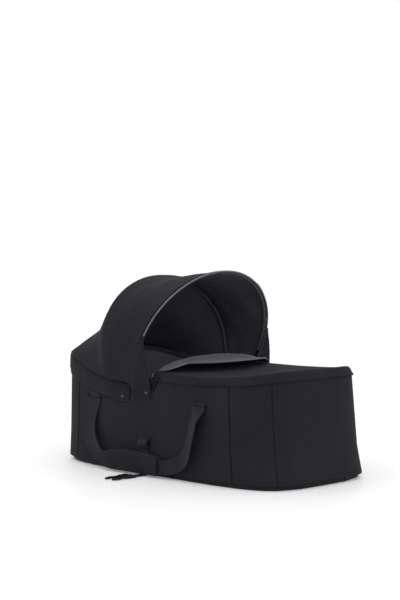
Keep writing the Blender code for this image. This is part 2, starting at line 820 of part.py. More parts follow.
def make_hood_canvas():
    front_edge = shifted(front_line(skirt=FRONT_SKIRT), FRONT_LEAN, -PIPING_STEP)
    front_of_mid = shifted(mid_line(skirt=MID_SKIRT), MID_LEAN, BOW_SEAM)
    rows = []
    for share in FRONT_PANEL_SHARES:
        sag = CANVAS_SAG * 4 * share * (1 - share)
        row = []
        for ahead, behind in zip(front_edge, front_of_mid):
            point = ahead * (1 - share) + behind * share
            row.append(point - outward_from_hood(point).normalized() * sag)
        rows.append(row)
    hang_on(sheet("hood_front_panel", rows, CANVAS, "canvas", outward=outward_from_hood), HOOD_AXIS)

    rear_of_mid = shifted(mid_line(skirt=MID_SKIRT), MID_LEAN, -BOW_SEAM)
    start = turn_at_x(rear_of_mid[0].x, -1) + 2 * math.pi
    end = turn_at_x(rear_of_mid[0].x, 1)
    turns = spaced_turns(start, end, len(rear_of_mid) - 1)
    foot_outer = abs(rear_of_mid[0].y) - side_y(rear_of_mid[0].x, RIM_LOW_HEIGHT)
    base = []
    for i, turn in enumerate(turns):
        beside = wall_point(turn, RIM_LOW_HEIGHT)
        tuck = max(min(i, len(turns) - 1 - i) / TUCK_STATIONS, 0.0)
        ease = min(tuck, 1.0)
        outer = (1 - ease) * foot_outer + ease * BAND_OUTER
        height = band_top(beside.x) + BAND_SEAM
        base.append(wall_point(turn, height, outer))
    base[0] = rear_of_mid[0] - Vector((BOW_SEAM, 0.0, 0.0))
    base[-1] = rear_of_mid[-1] - Vector((BOW_SEAM, 0.0, 0.0))
    rows = []
    for share in REAR_PANEL_SHARES:
        row = []
        for upper, lower in zip(rear_of_mid, base):
            row.append(upper * (1 - share) + lower * share)
        rows.append(row[1:-1])
    sheet("hood_rear_panel", rows, CANVAS, "canvas", outward=outward_from_hood)


def flat_tongue(name, root, direction, y_low, y_high):
    """A flat eye with a round end about the pivot and a square end towards the bow, as a mesh."""
    outline = []
    heading = math.atan2(direction.z, direction.x)
    half_round = ROUND_STEPS // 2
    for i in range(half_round + 1):
        angle = heading + math.pi / 2 + math.pi * i / half_round
        x = root[0] + TONGUE_HALF_WIDTH * math.cos(angle)
        outline.append((x, root[1] + TONGUE_HALF_WIDTH * math.sin(angle)))
    for side in (-1, 1):
        outline.append((
            root[0] + TONGUE_LENGTH * direction.x - side * TONGUE_HALF_WIDTH * math.sin(heading) / 2,
            root[1] + TONGUE_LENGTH * direction.z + side * TONGUE_HALF_WIDTH * math.cos(heading) / 2,
        ))

    def build(work):
        rings = [[Vector((x, y, z)) for x, z in outline] for y in (y_low, y_high)]
        made = add_grid(work, rings, closed_rows=True)
        work.faces.new(made[0])
        work.faces.new(made[-1])
    return mesh_of(name, build)


def pivot_hole(name, side):
    """Cutter for the hole that a bow's end turns on."""
    def build(work):
        middle = Vector((PIVOT[0], side * (PIVOT_Y_LOW + PIVOT_Y_HIGH) / 2, PIVOT[1]))
        span = PIVOT_Y_HIGH - PIVOT_Y_LOW + 2 * OVERRUN
        add_cylinder(work, middle, RIVET_RADIUS + RIVET_CLEARANCE, span)
    return cutter(name, mesh_of(name, build))


def finished_bow(name, foot_points, arch, tongue_low):
    """A bow: its arch, a bent foot at each side and a flat eye on the pivot."""
    right_foot = [Vector((x, -y, z)) for x, y, z in foot_points]
    left_foot = [Vector((x, y, z)) for x, y, z in reversed(foot_points)]
    bow = tube(name, right_foot + arch + left_foot, BOW_RADIUS, "steel")
    end = Vector(foot_points[0])
    direction = Vector((end.x - PIVOT[0], 0.0, end.z - PIVOT[1])).normalized()
    for word, side in SIDES:
        low, high = sorted((side * tongue_low, side * (tongue_low + TONGUE)))
        eye = cutter(f"{name}_{word}_eye", flat_tongue(f"{name}_{word}_eye", PIVOT, direction, low, high))
        boolean(bow, eye, "UNION")
        boolean(bow, pivot_hole(f"{name}_{word}_hole", side), "DIFFERENCE")
    return hang_on(applied(bow), HOOD_AXIS)


def make_bows():
    """The hoops that hold the hood up, both hung on one rivet at each side."""
    inset = CANVAS + BOW_SLACK + BOW_RADIUS
    front = shifted(front_line(inset), FRONT_LEAN, -PIPING_STEP - BOW_RADIUS)
    lean = Vector((math.sin(FRONT_LEAN), 0.0, math.cos(FRONT_LEAN)))
    start = TONGUE_LENGTH * ARM_START_SHARE
    front_foot = [(PIVOT[0] + lean.x * start, FRONT_EYE_Y + FRONT_ARM_OUT, PIVOT[1] + lean.z * start)]
    finished_bow("front_bow", front_foot, trimmed(front, FRONT_TRIM), FRONT_EYE_Y)
    mid = mid_line(inset)
    back = Vector((-MID_BEND_X, 0.0, MID_BEND_Z)).normalized() * start
    mid_foot = [
        (PIVOT[0] + back.x, MID_EYE_Y + MID_ARM_OUT, PIVOT[1] + back.z),
        (PIVOT[0] - MID_BEND_X, MID_EYE_Y + MID_BEND_OUT, PIVOT[1] + MID_BEND_Z),
        (PIVOT[0] - MID_FAR_X, abs(mid[0].y) + MID_FAR_OUT, PIVOT[1] + MID_FAR_Z),
        (PIVOT[0] - MID_FAR_X - MID_TURN_X, abs(mid[0].y) + MID_TURN_OUT, PIVOT[1] + MID_FAR_Z + MID_BEND_Z),
    ]
    finished_bow("mid_bow", mid_foot, trimmed(mid, MID_TRIM), MID_EYE_Y)


def trimmed(arch, height):
    """The part of an arch above a height over its feet."""
    return [point for point in arch if point.z > FRONT_FOOT[1] + height]


def turned(name, side, profile, kind):
    """A solid turned on the hood's hinge axis, from (radius, distance from the middle plane) pairs."""
    line = bpy.data.meshes.new(name)
    points = [(radius, side * y, 0.0) for radius, y in profile]
    line.from_pydata(points, [(i, i + 1) for i in range(len(points) - 1)], [])
    piece = add(name, line, kind)
    screw = piece.modifiers.new("turn", "SCREW")
    screw.axis = "Y"
    screw.steps = screw.render_steps = ROUND_STEPS
    screw.use_merge_vertices = True
    applied(piece)
    work = bmesh.new()
    work.from_mesh(piece.data)
    bmesh.ops.recalc_face_normals(work, faces=work.faces)
    bmesh.ops.translate(work, verts=work.verts, vec=HOOD_AXIS)
    work.to_mesh(piece.data)
    work.free()
    piece.data.shade_smooth()
    piece.data.set_sharp_from_angle(angle=SHARP_ANGLE)
    return piece


def make_hood_hinges():
    """A plate on the cover at each side, with the headed rivet that holds both bows."""
    plate_top = PIVOT_Y_LOW + PLATE
    head_low = FRONT_EYE_Y + TONGUE + HINGE_STEP
    head_top = head_low + RIVET_HEAD
    profile = (
        (0.0, PIVOT_Y_LOW), (PLATE_RADIUS, PIVOT_Y_LOW), (PLATE_RADIUS, plate_top), (RIVET_RADIUS, plate_top),
        (RIVET_RADIUS, head_low), (RIVET_HEAD_RADIUS, head_low),
        (RIVET_HEAD_RADIUS, head_low + RIVET_HEAD / 2), (RIVET_RADIUS, head_top), (0.0, head_top),
    )
    for word, side in SIDES:
        turned(f"{word}_hood_hinge", side, profile, "steel")


def make_hood_piping():
    points = front_line(inset=PIPING_RADIUS)
    return hang_on(tube("hood_piping", points, PIPING_RADIUS, "piping"), HOOD_AXIS)


def band_top(x):
    share = max(BAND_END_X - x, 0.0) / (HEM_HALF_LENGTH + BAND_END_X)
    return BAND_END_TOP + BAND_RISE * share**BAND_RISE_POWER


def make_hood_band(panels):
    """Band round the head end, its two ends rounded off."""
    radius = BAND_HEIGHT / 2
    start = turn_at_x(BAND_END_X - radius, 1)
    side = [turn for turn in panels["left_side_cover"] if turn > start + CLOSE_TURN]
    right = [2 * math.pi - turn for turn in side[::-1]]
    turns = [start] + side + panels["head_cover"][1:-1] + right + [2 * math.pi - start]
    columns = [(turn, band_top(wall_point(turn, RIM_LOW_HEIGHT).x) - radius, radius) for turn in turns]
    left_end = []
    right_end = []
    for i in range(1, BAND_END_STEPS + 1):
        angle = math.pi / 2 * i / BAND_END_STEPS
        x = BAND_END_X - radius + radius * math.sin(angle)
        turn = turn_at_x(x, 1)
        half = max(radius * math.cos(angle), BAND)
        left_end.append((turn, band_top(x) - radius, half))
        right_end.append((2 * math.pi - turn, band_top(x) - radius, half))
    columns = left_end[::-1] + columns + right_end
    inner, outer = BAND_OUTER - BAND, BAND_OUTER
    rings = []
    for turn, z, half in columns:
        places = ((z - half, inner), (z + half, inner), (z + half, outer), (z - half, outer))
        rings.append([wall_point(turn, height, offset) for height, offset in places])
    return loft("hood_band", rings, "cover")


def make_hood_corners():
    """Gusset between the piping and the cot's side, running down into a tab with a stud."""
    def piping_x(z):
        return FRONT_FOOT[0] + (z - FRONT_FOOT[1]) * math.tan(FRONT_LEAN) + PIPING_STEP

    def edge_x(z):
        share = (z - GUSSET_FOOT_Z) / (GUSSET_TOP_Z - GUSSET_FOOT_Z)
        return GUSSET_FOOT_X + (GUSSET_TOP_X - GUSSET_FOOT_X) * share

    over_rivet = FRONT_EYE_Y + TONGUE + HINGE_STEP + RIVET_HEAD + FIT + CANVAS
    rows = []
    for row in TAB_ROW_SHARES:
        placed = []
        for i, (along, up) in enumerate(row):
            x = TAB_BACK_X + TAB_LENGTH * along
            on_cover = side_y(x, TAB_LOW_Z) + CANVAS + FIT
            placed.append((x, on_cover if i > 1 else over_rivet, TAB_LOW_Z + TAB_HEIGHT * up))
        rows.append(placed)
    for share in GUSSET_HEIGHT_SHARES:
        z = GUSSET_FOOT_Z * (1 - share) + GUSSET_TOP_Z * share
        back, ahead = piping_x(z), max(edge_x(z), piping_x(z) + STUD)
        rise = (z - FRONT_FOOT[1]) / math.cos(FRONT_LEAN)
        row = []
        for part in GUSSET_WIDTH_SHARES:
            inner = bow_side_y(rise) - CANVAS_SAG * part * (1 - share)
            row.append((back + (ahead - back) * part, inner, z))
        rows.append(row)
    for word, side in SIDES:
        placed = [[Vector((x, side * y, z)) for x, y, z in row] for row in rows]
        sheet(f"{word}_hood_corner", placed, CANVAS, "canvas", outward=outward_from_axis)


def bow_side_y(rise):
    """Half-width of the front bow's arch at a height up its plane."""
    share = min(max(rise / FRONT_REACH, 0.0), 1.0)
    across = (1 - share**BOW_TOP_POWER) ** (1 / BOW_SIDE_POWER) if share < 1 else 0.0
    return FRONT_HALF_WIDTH * across * (1 + BOW_BULGE * share * (1 - share))


def make_press_studs():
    """Studs on the band's ends and on the front tabs."""
    for word, side in SIDES:
        for place_word, x, z, base in (
            ("band", BAND_STUD_X, BAND_STUD_Z, BAND_OUTER),
            ("tab", TAB_STUD_X, TAB_STUD_Z, TAB_OUTER),
        ):
            middle = (x, side * (side_y(x, z) + base + FIT + STUD / 2), z)
            place = Matrix.Translation(middle) @ Matrix.Rotation(side * -math.pi / 2, 4, "X")

            def build(work, place=place):
                bmesh.ops.create_cone(
                    work, cap_ends=True, segments=ROUND_STEPS, radius1=STUD_RADIUS,
                    radius2=STUD_RADIUS * STUD_CROWN_SHARE, depth=STUD, matrix=place,
                )
            name = f"{word}_{place_word}_stud"
            add(name, mesh_of(name, build), "steel")


# Apron

def apron_height(x, y):
    """Height of the apron's outer face inside its shoulder: a slight sag and a raised lip."""
    across = max(1 - (y / FLAP_HALF_WIDTH) ** 2, 0.0)
    along = min(max((APRON_FAR_X - x) / APRON_FAR_X, 0.0), 1.0)
    lip = max(1 - (x - APRON_EDGE_X) / APRON_LIP_LENGTH, 0.0) ** 2
    sag = APRON_SAG * across * min(2 * (1 - along), 1.0)
    return rim_height(x) + APRON_SEAM + SHOULDER_HEIGHT - sag * (1 - lip) + APRON_LIP_RISE * lip * across


def shoulder_point(turn, share):
    """A point of the rounded shoulder where the apron rises from the rim; share 0 is its edge."""
    angle = math.pi / 2 * share
    beside = wall_point(turn, RIM_LOW_HEIGHT)
    z = rim_height(beside.x) + APRON_SEAM + SHOULDER_HEIGHT * math.sin(angle)
    edge_height = rim_height(beside.x) + APRON_SEAM
    point = wall_point(turn, edge_height, -APRON_INSET - SHOULDER_INSET * (1 - math.cos(angle)))
    return Vector((point.x, point.y, z))


def apron_turns(panels):
    """Stations round the foot half from the right-hand lip to the left-hand one."""
    lip = [turn_at_x(APRON_EDGE_X + APRON_LIP_LENGTH * share, 1) for share in LIP_SHARES]
    left = list(panels["left_foot_corner_cover"])
    left += [turn for turn in panels["left_side_cover"][1:] if turn < lip[0] - CLOSE_TURN]
    left += lip
    return [-turn for turn in left[::-1]] + panels["foot_cover"][1:-1] + left


def make_apron(panels):
    """The apron's top: a shoulder where the zip joins it and a patch inside that sags a little."""
    turns = apron_turns(panels)
    rings = [[shoulder_point(turn, share) for turn in turns] for share in SHOULDER_SHARES]
    inner = rings[-1]
    corner = (len(turns) - 1 - FOOT_STEPS - CORNER_STEPS) // 2
    right_edge = inner[:corner + 1]
    foot_edge = inner[corner:len(inner) - corner]
    left_edge = inner[len(inner) - corner - 1:][::-1]
    across = len(foot_edge) - 1
    lip_edge = [right_edge[0].lerp(left_edge[0], i / across) for i in range(across + 1)]
    field = patch(lip_edge, foot_edge, right_edge, left_edge)
    for i, row in enumerate(field):
        for j, point in enumerate(row):
            if 0 < j < across and i < len(field) - 1:
                row[j] = Vector((point.x, point.y, apron_height(point.x, point.y)))

    def build(work):
        add_grid(work, rings)
        add_grid(work, field)
        bmesh.ops.remove_doubles(work, verts=work.verts, dist=FIT / 10)
    surface = mesh_of("apron_top", build)
    turn_to(surface, lambda centre: Vector((0.0, 0.0, 1.0)))
    return wall(add("apron_top", surface, "cover"), APRON, -1)


def make_apron_flap():
    """The apron's end flap, folded back over it: a sheet with a roll along its fold."""
    under = []
    over = []
    for v in FLAP_CROSS_SHARES:
        y = FLAP_HALF_WIDTH * v
        room = 1 - v * v
        width = FLAP_LENGTH * room**FLAP_PLAN_POWER
        thick = FLAP * math.sqrt(1 - v**FLAP_TIP_POWER)
        low_row = []
        high_row = []
        for u in FLAP_LONG_SHARES:
            x = APRON_EDGE_X + FIT + width * u
            gap = FLAP_GAP + (FLAP_FREE_GAP - FLAP_GAP) * math.sqrt(u) * min(4 * room, 1.0)
            height = apron_height(x, y) + gap
            lift = FLAP_ROLL_RISE * room * (1 - u) ** 2
            edge = math.sqrt(1 - (2 * u - 1) ** FLAP_EDGE_POWER)
            low_row.append(Vector((x, y, height)))
            high_row.append(Vector((x, y, height + (thick + lift) * edge)))
        under.append(low_row)
        over.append(high_row)

    def build(work):
        add_grid(work, under)
        add_grid(work, over)
    flap = add("apron_flap", mesh_of("apron_flap", build), "satin")
    return hang_on(flap, (APRON_EDGE_X, 0.0, apron_height(APRON_EDGE_X, 0.0)))


# Zip

def make_zip(panels):
    """The zip's chain along the rim round the foot end, with a tail hanging down at each end."""
    turns = apron_turns(panels)
    near = turn_at_x(ZIP_TAIL_X - ZIP_HALF_WIDTH, 1)
    far = turn_at_x(ZIP_TAIL_X + ZIP_HALF_WIDTH, 1)
    rings = []
    for z in (ZIP_TAIL_LOW_Z, RIM_LOW_HEIGHT, ZIP_TAIL_TOP_Z):
        rings.append(zip_section(-near, z, -far, z))
    for turn in turns[1:-1]:
        z = rim_height(wall_point(turn, RIM_LOW_HEIGHT).x)
        rings.append(zip_section(turn, z + ZIP_HALF_WIDTH, turn, z - ZIP_HALF_WIDTH))
    for z in (ZIP_TAIL_TOP_Z, RIM_LOW_HEIGHT, ZIP_TAIL_LOW_Z):
        rings.append(zip_section(near, z, far, z))
    return loft("zip_chain", rings, "moulding")


def zip_section(turn_a, z_a, turn_b, z_b):
    """Flat section of the chain between two points of the wall."""
    inner, outer = ZIP_INNER, ZIP_INNER + ZIP
    places = ((turn_a, z_a, inner), (turn_a, z_a, outer), (turn_b, z_b, outer), (turn_b, z_b, inner))
    return [wall_point(turn, z, offset) for turn, z, offset in places]


def make_zip_sliders():
    """A slider over each end of the zip, and the pull that hangs from it."""
    for word, side in SIDES:
        low_z = ZIP_TAIL_TOP_Z - SLIDER_HEIGHT
        y = side_y(ZIP_TAIL_X, low_z) + ZIP_OUTER + FIT
        low, high = sorted((side * y, side * (y + SLIDER)))
        corner_low = (ZIP_TAIL_X - SLIDER_WIDTH / 2, low, low_z)
        corner_high = (ZIP_TAIL_X + SLIDER_WIDTH / 2, high, ZIP_TAIL_TOP_Z)
        name = f"{word}_zip_slider"
        body = add(name, box_mesh(name, corner_low, corner_high), "steel")
        bevel = body.modifiers.new("edge", "BEVEL")
        bevel.width = SLIDER / 4
        bevel.segments = 2
        outer = side * (y + SLIDER + FIT + PULL / 2)

        def build(work, outer=outer):
            heel = PULL_TOP_Z - PULL_LENGTH * PULL_HEEL_SHARE
            low = PULL_TOP_Z - PULL_LENGTH
            outline = [
                (-PULL_WIDTH / 2, PULL_TOP_Z), (PULL_WIDTH / 2, PULL_TOP_Z), (PULL_WIDTH / 2 + PULL, heel),
                (PULL_WIDTH / 2, low), (-PULL_WIDTH / 2, low), (-PULL_WIDTH / 2 - PULL, heel),
            ]
            rings = [
                [Vector((ZIP_TAIL_X + x, outer + face * PULL / 2, z)) for x, z in outline] for face in (-1, 1)
            ]
            made = add_grid(work, rings, closed_rows=True)
            work.faces.new(made[0])
            work.faces.new(made[-1])
        pull = add(f"{word}_zip_pull", mesh_of(f"{word}_zip_pull", build), "steel")
        hang_on(pull, (ZIP_TAIL_X, outer, PULL_TOP_Z))


# Carry handles

def strap_route():
    """Centre line of the hanging strap: x, z, how far it stands off the wall, and its width."""
    span = STRAP_FOOT_X - STRAP_HEAD_X
    route = []
    for along, up, stand, width in HEAD_FALL_SHARES:
        route.append((STRAP_HEAD_X + along * span, up * STRAP_HEAD_Z, stand, width * STRAP_HEAD_WIDTH))
    for third in range(4):
        x = GRIP_HEAD_X + (GRIP_FOOT_X - GRIP_HEAD_X) * third / 3
        route.append((x, GRIP_CENTRE_Z, 1.0, STRAP_GRIP_WIDTH))
    route.append((STRAP_FOOT_X - GRIP_LEAD_SHARE * span, GRIP_CENTRE_Z, 1.0, STRAP_GRIP_WIDTH))
    for along, up, stand, width in FOOT_FALL_SHARES:
        route.append((STRAP_FOOT_X - along * span, up * STRAP_FOOT_Z, stand, width * STRAP_FOOT_WIDTH))
    return route


def smooth_route(route, steps):
    """Catmull-Rom curve through the route's values."""
    found = []
    last = len(route) - 1
    for i in range(last):
        before = route[max(i - 1, 0)]
        after = route[min(i + 2, last)]
        for k in range(steps):
            t = k / steps
            point = []
            for p0, p1, p2, p3 in zip(before, route[i], route[i + 1], after):
                point.append(0.5 * (
                    2 * p1 + (p2 - p0) * t + (2 * p0 - 5 * p1 + 4 * p2 - p3) * t * t
                    + (3 * p1 - p0 - 3 * p2 + p3) * t**3
                ))
            found.append(tuple(point))
    found.append(tuple(route[-1]))
    return found


def strap_place(x, z, stand, side):
    """A point of the strap's centre, standing off the wall."""
    out = STRAP / 2 + STRAP_STAND_OFF + stand * (GRIP_STAND_OFF - STRAP / 2 - STRAP_STAND_OFF)
    grip_share = min(max((STRAP_FOOT_X - x) / (STRAP_FOOT_X - STRAP_HEAD_X), 0.0), 1.0)
    return Vector((x, side * (side_y(x, z) + out + GRIP_LEAN_OUT * stand * grip_share**2), z))


def make_handles():
    route = smooth_route(strap_route(), 3)
    for word, side in SIDES:
        centres = [strap_place(x, z, stand, side) for x, z, stand, _ in route]
        rows = [[], [], []]
        sleeve_rings = []
        for i, centre in enumerate(centres):
            along = centres[min(i + 1, len(centres) - 1)] - centres[max(i - 1, 0)]
            if i in (0, len(centres) - 1):
                along.x = 0.0
            along = Vector((along.x, 0.0, along.z)).normalized()
            across = Vector((along.z, 0.0, -along.x))
            half = route[i][3] / 2
            for row, share in zip(rows, (-1, 0, 1)):
                row.append(centre + across * half * share)
            in_grip = GRIP_HEAD_X - FIT <= centre.x <= GRIP_FOOT_X + FIT
            if in_grip and abs(centre.z - GRIP_CENTRE_Z) < GRIP_DEPTH:
                sleeve_rings.append((centre, across))
        strap = sheet(f"{word}_handle_strap", rows, STRAP, "webbing", offset=0, outward=outward_from_axis)
        hang_on(strap, centres[-1])
        hang_on(make_grip_sleeve(word, side, sleeve_rings), centres[-1])


def make_grip_sleeve(word, side, places):
    """Padded sleeve: a flat oval outside, with a slot through it that the strap fills."""
    outer = []
    inner = []
    for centre, across in places:
        out_ring = []
        in_ring = []
        for i in range(SLEEVE_SIDES):
            angle = 2 * math.pi * i / SLEEVE_SIDES
            up, out = math.cos(angle), math.sin(angle)
            square = max(abs(up), abs(out))
            outward = Vector((0.0, side, 0.0))
            wide = signed_power(up, GRIP_ROUND_SHARE) * GRIP_WIDTH / 2
            deep = signed_power(out, GRIP_ROUND_SHARE) * GRIP_DEPTH / 2
            out_ring.append(centre + across * wide + outward * deep)
            slot_wide = up / square * (STRAP_GRIP_WIDTH / 2 + FIT)
            slot_deep = out / square * (STRAP / 2 + FIT)
            in_ring.append(centre + across * slot_wide + outward * slot_deep)
        outer.append(out_ring)
        inner.append(in_ring)
    name = f"{word}_grip_sleeve"
    rows = outer + inner[::-1]
    return add(name, mesh_of(name, lambda work: add_grid(work, rows, True, True)), "cover")


def make_handle_anchors():
    """Sewn patches that hold the strap ends: one below the band's edge and one further to the foot."""
    ends = (
        ("head", STRAP_HEAD_X, STRAP_HEAD_Z, STRAP_HEAD_WIDTH),
        ("foot", STRAP_FOOT_X, STRAP_FOOT_Z, STRAP_FOOT_WIDTH),
    )
    for word, side in SIDES:
        for end, x, z, width in ends:
            low = z + ANCHOR_LIFT
            half = width / 2 - FIT
            lower = [(x + share * half, low) for share in (-1, 0, 1)]
            upper = []
            for at, _ in lower:
                under_band = band_top(at) - BAND_HEIGHT - FIT * 2
                upper.append((at, under_band if end == "head" else low + ANCHOR_HEIGHT))
            rings = []
            for offset in (FIT, FIT + ANCHOR):
                outline = lower + upper[::-1]
                rings.append([Vector((px, side * (side_y(px, pz) + offset), pz)) for px, pz in outline])
            loft(f"{word}_{end}_anchor", rings, "webbing")


# Chassis straps

def make_chassis_straps():
    """Webbing down the wall and out along the floor, looped round the clip's bar."""
    for word, side in SIDES:
        seat = WEBBING / 2 + FIT
        loop = CLIP_BAR_RADIUS + CLIP_BAR_CLEARANCE + WEBBING / 2
        line = []
        for z in (CHASSIS_TOP_Z, HEM_HEIGHT):
            line.append((side_y(CHASSIS_X, z) + seat, z))
        corner_y = side_y(CHASSIS_X, HEM_HEIGHT) + seat
        for i in range(BEND_STEPS + 1):
            angle = math.pi / 2 * i / BEND_STEPS
            out = WEBBING_BEND * (1 - math.cos(angle))
            line.append((corner_y + out, seat + WEBBING_BEND * (1 - math.sin(angle))))
        centre_z = seat + loop
        for i in range(LOOP_STEPS + 1):
            angle = -math.pi / 2 + LOOP_WRAP * i / LOOP_STEPS
            line.append((CLIP_BAR_Y + loop * math.cos(angle), centre_z + loop * math.sin(angle)))
        rows = []
        for share in (-1, 1):
            rows.append([Vector((CHASSIS_X + share * WEBBING_HALF_WIDTH, side * y, z)) for y, z in line])
        middle = Vector((CHASSIS_X, side * CLIP_BAR_Y, centre_z))
        sheet(f"{word}_chassis_strap", rows, WEBBING, "webbing", offset=0,
              outward=lambda point, side=side: Vector((0.0, side, 0.0)))
        make_loop_tab(word, side)
        make_clip(word, side, middle)


def make_loop_tab(word, side):
    """Webbing folded to a tunnel that runs along the wall, sewn above and below."""
    seat = FIT + WEBBING / 2
    line = [(seat, LOOP_LOW_Z), (seat, LOOP_LOW_Z + LOOP_FLANGE)]
    half = (LOOP_TOP_Z - LOOP_LOW_Z) / 2 - LOOP_FLANGE
    middle = (LOOP_TOP_Z + LOOP_LOW_Z) / 2
    for i in range(1, LOOP_TAB_STEPS):
        angle = math.pi * i / LOOP_TAB_STEPS
        out = LOOP_DEPTH * math.sin(angle) ** LOOP_ROUND_POWER
        line.append((max(out, seat), middle - half * math.cos(angle)))
    line += [(seat, LOOP_TOP_Z - LOOP_FLANGE), (seat, LOOP_TOP_Z)]
    rows = []
    for share in (-1, 1):
        x = CHASSIS_X + share * TAB_HALF_WIDTH
        rows.append([Vector((x, side * (side_y(CHASSIS_X, z) + out), z)) for out, z in line])
    return sheet(f"{word}_loop_tab", rows, WEBBING, "webbing", offset=0,
                 outward=lambda point, side=side: Vector((0.0, side, 0.0)))


def make_clip(word, side, bar):
    """Male half of a side-release clip: a bar for the webbing, a body, two sprung prongs and a guide."""
    name = f"{word}_clip"
    half_thick = CLIP_THICKNESS / 2
    back = CLIP_BAR_Y + CLIP_BACK
    front = back + CLIP_BODY_LENGTH

    def slab(half_width, y_low, y_high, thin=1.0, x_middle=0.0):
        low_y, high_y = sorted((side * y_low, side * y_high))
        low = (CHASSIS_X + x_middle - half_width, low_y, bar.z - half_thick * thin)
        high = (CHASSIS_X + x_middle + half_width, high_y, bar.z + half_thick * thin)
        return low, high

    def build(work):
        shoulder = back + CLIP_BODY_LENGTH * CLIP_SHOULDER_SHARE
        outline = [
            (CLIP_HALF_WIDTH, back), (CLIP_HALF_WIDTH, shoulder),
            (CLIP_HALF_WIDTH - CLIP_BARB, front), (-CLIP_HALF_WIDTH + CLIP_BARB, front),
            (-CLIP_HALF_WIDTH, shoulder), (-CLIP_HALF_WIDTH, back),
        ]
        rings = []
        for z in (-half_thick, half_thick):
            rings.append([Vector((CHASSIS_X + x, side * y, bar.z + z)) for x, y in outline])
        made = add_grid(work, rings, closed_rows=True)
        work.faces.new(made[0])
        work.faces.new(made[-1])
    clip = add(name, mesh_of(name, build), "moulding")
    for word_x in (-1, 1):
        cheek_x = word_x * (CLIP_HALF_WIDTH - CLIP_CHEEK / 2)
        cheek_back = CLIP_BAR_Y - CLIP_BAR_RADIUS
        low, high = slab(CLIP_CHEEK / 2, cheek_back, back + OVERRUN, CLIP_CHEEK_SHARE, cheek_x)
        boolean(clip, cutter(f"{name}_cheek", box_mesh("cheek", low, high)), "UNION")
        boolean(clip, cutter(f"{name}_prong", prong_mesh(side, word_x, front, bar.z, half_thick)), "UNION")

    def bar_mesh(work):
        add_cylinder(work, bar, CLIP_BAR_RADIUS, 2 * CLIP_HALF_WIDTH - CLIP_CHEEK, "X", BAR_STEPS)
    boolean(clip, cutter(f"{name}_bar", mesh_of("bar", bar_mesh)), "UNION")
    low, high = slab(CLIP_GUIDE_WIDTH / 2, front - OVERRUN, front + CLIP_GUIDE_LENGTH, CLIP_GUIDE_SHARE)
    boolean(clip, cutter(f"{name}_guide", box_mesh("guide", low, high)), "UNION")
    return hang_on(applied(clip), bar)


def prong_mesh(side, word_x, front, z_middle, half_thick):
    """One sprung prong: an arm that bows outward and ends in a barb."""
    root = CLIP_HALF_WIDTH - CLIP_BARB - CLIP_PRONG_WIDTH
    outline = [(root, front - OVERRUN), (root + CLIP_PRONG_WIDTH, front - OVERRUN)]
    for width, barb, along in PRONG_SHARES:
        x = root + width * CLIP_PRONG_WIDTH + barb * CLIP_BARB
        outline.append((x, front + along * CLIP_PRONG_LENGTH))

    def build(work):
        rings = []
        for z in (-half_thick * CLIP_PRONG_SHARE, half_thick * CLIP_PRONG_SHARE):
            rings.append([Vector((CHASSIS_X + word_x * x, side * y, z_middle + z)) for x, y in outline])
        made = add_grid(work, rings, closed_rows=True)
        work.faces.new(made[0])
        work.faces.new(made[-1])
    return mesh_of("prong", build)


# Values that follow from the sizes above
HEM_HALF_LENGTH = BASE_HALF_LENGTH + HEM_OVERHANG
HEM_HALF_WIDTH = BASE_HALF_WIDTH + HEM_OVERHANG
LINING_OUTER = max(COVER + FIT + BOARD + FIT + WADDING, COVER + FIT + 2 * FRAME_RADIUS) + FIT
LINING_FLOOR = TRAY_RIB_TOP + FIT + BASE_BOARD + FIT
FRONT_FOOT = (FRONT_FOOT_X, RIM_LOW_HEIGHT - HOOD_FOOT_DROP)
MID_FOOT = (MID_FOOT_X, RIM_LOW_HEIGHT - HOOD_FOOT_DROP)
BAND_END_TOP = RIM_LOW_HEIGHT - BAND_END_DROP
GUSSET_TOP_Z = RIM_LOW_HEIGHT + GUSSET_RISE
GUSSET_FOOT_Z = RIM_LOW_HEIGHT - GUSSET_DROP
TAB_LOW_Z = RIM_LOW_HEIGHT - TAB_DROP
BAND_STUD_Z = RIM_LOW_HEIGHT - BAND_STUD_DROP
TAB_STUD_Z = RIM_LOW_HEIGHT - TAB_STUD_DROP
ZIP_TAIL_LOW_Z = RIM_LOW_HEIGHT - ZIP_TAIL_DROP
ZIP_TAIL_TOP_Z = RIM_LOW_HEIGHT + ZIP_TAIL_RISE
STRAP_HEAD_Z = RIM_LOW_HEIGHT - STRAP_HEAD_DROP
STRAP_FOOT_Z = RIM_LOW_HEIGHT - STRAP_FOOT_DROP
BAND_OUTER = 2 * FIT + BAND
PIVOT = (
    FRONT_FOOT[0] - PIVOT_DROP * math.tan(FRONT_LEAN),
    FRONT_FOOT[1] - PIVOT_DROP,
)
HOOD_AXIS = (PIVOT[0], 0.0, PIVOT[1])
PIVOT_Y_LOW = side_y(PIVOT[0], PIVOT[1] - PLATE_RADIUS) + FIT
MID_EYE_Y = PIVOT_Y_LOW + PLATE + HINGE_STEP
FRONT_EYE_Y = MID_EYE_Y + TONGUE + HINGE_STEP
PIVOT_Y_HIGH = FRONT_EYE_Y + TONGUE
ZIP_INNER = 2 * FIT
ZIP_OUTER = ZIP_INNER + ZIP
PULL_TOP_Z = ZIP_TAIL_TOP_Z - SLIDER_HEIGHT / 3
TAB_OUTER = CANVAS + 3 * FIT
APRON_FAR_X = BASE_HALF_LENGTH - FOOT_LEAN


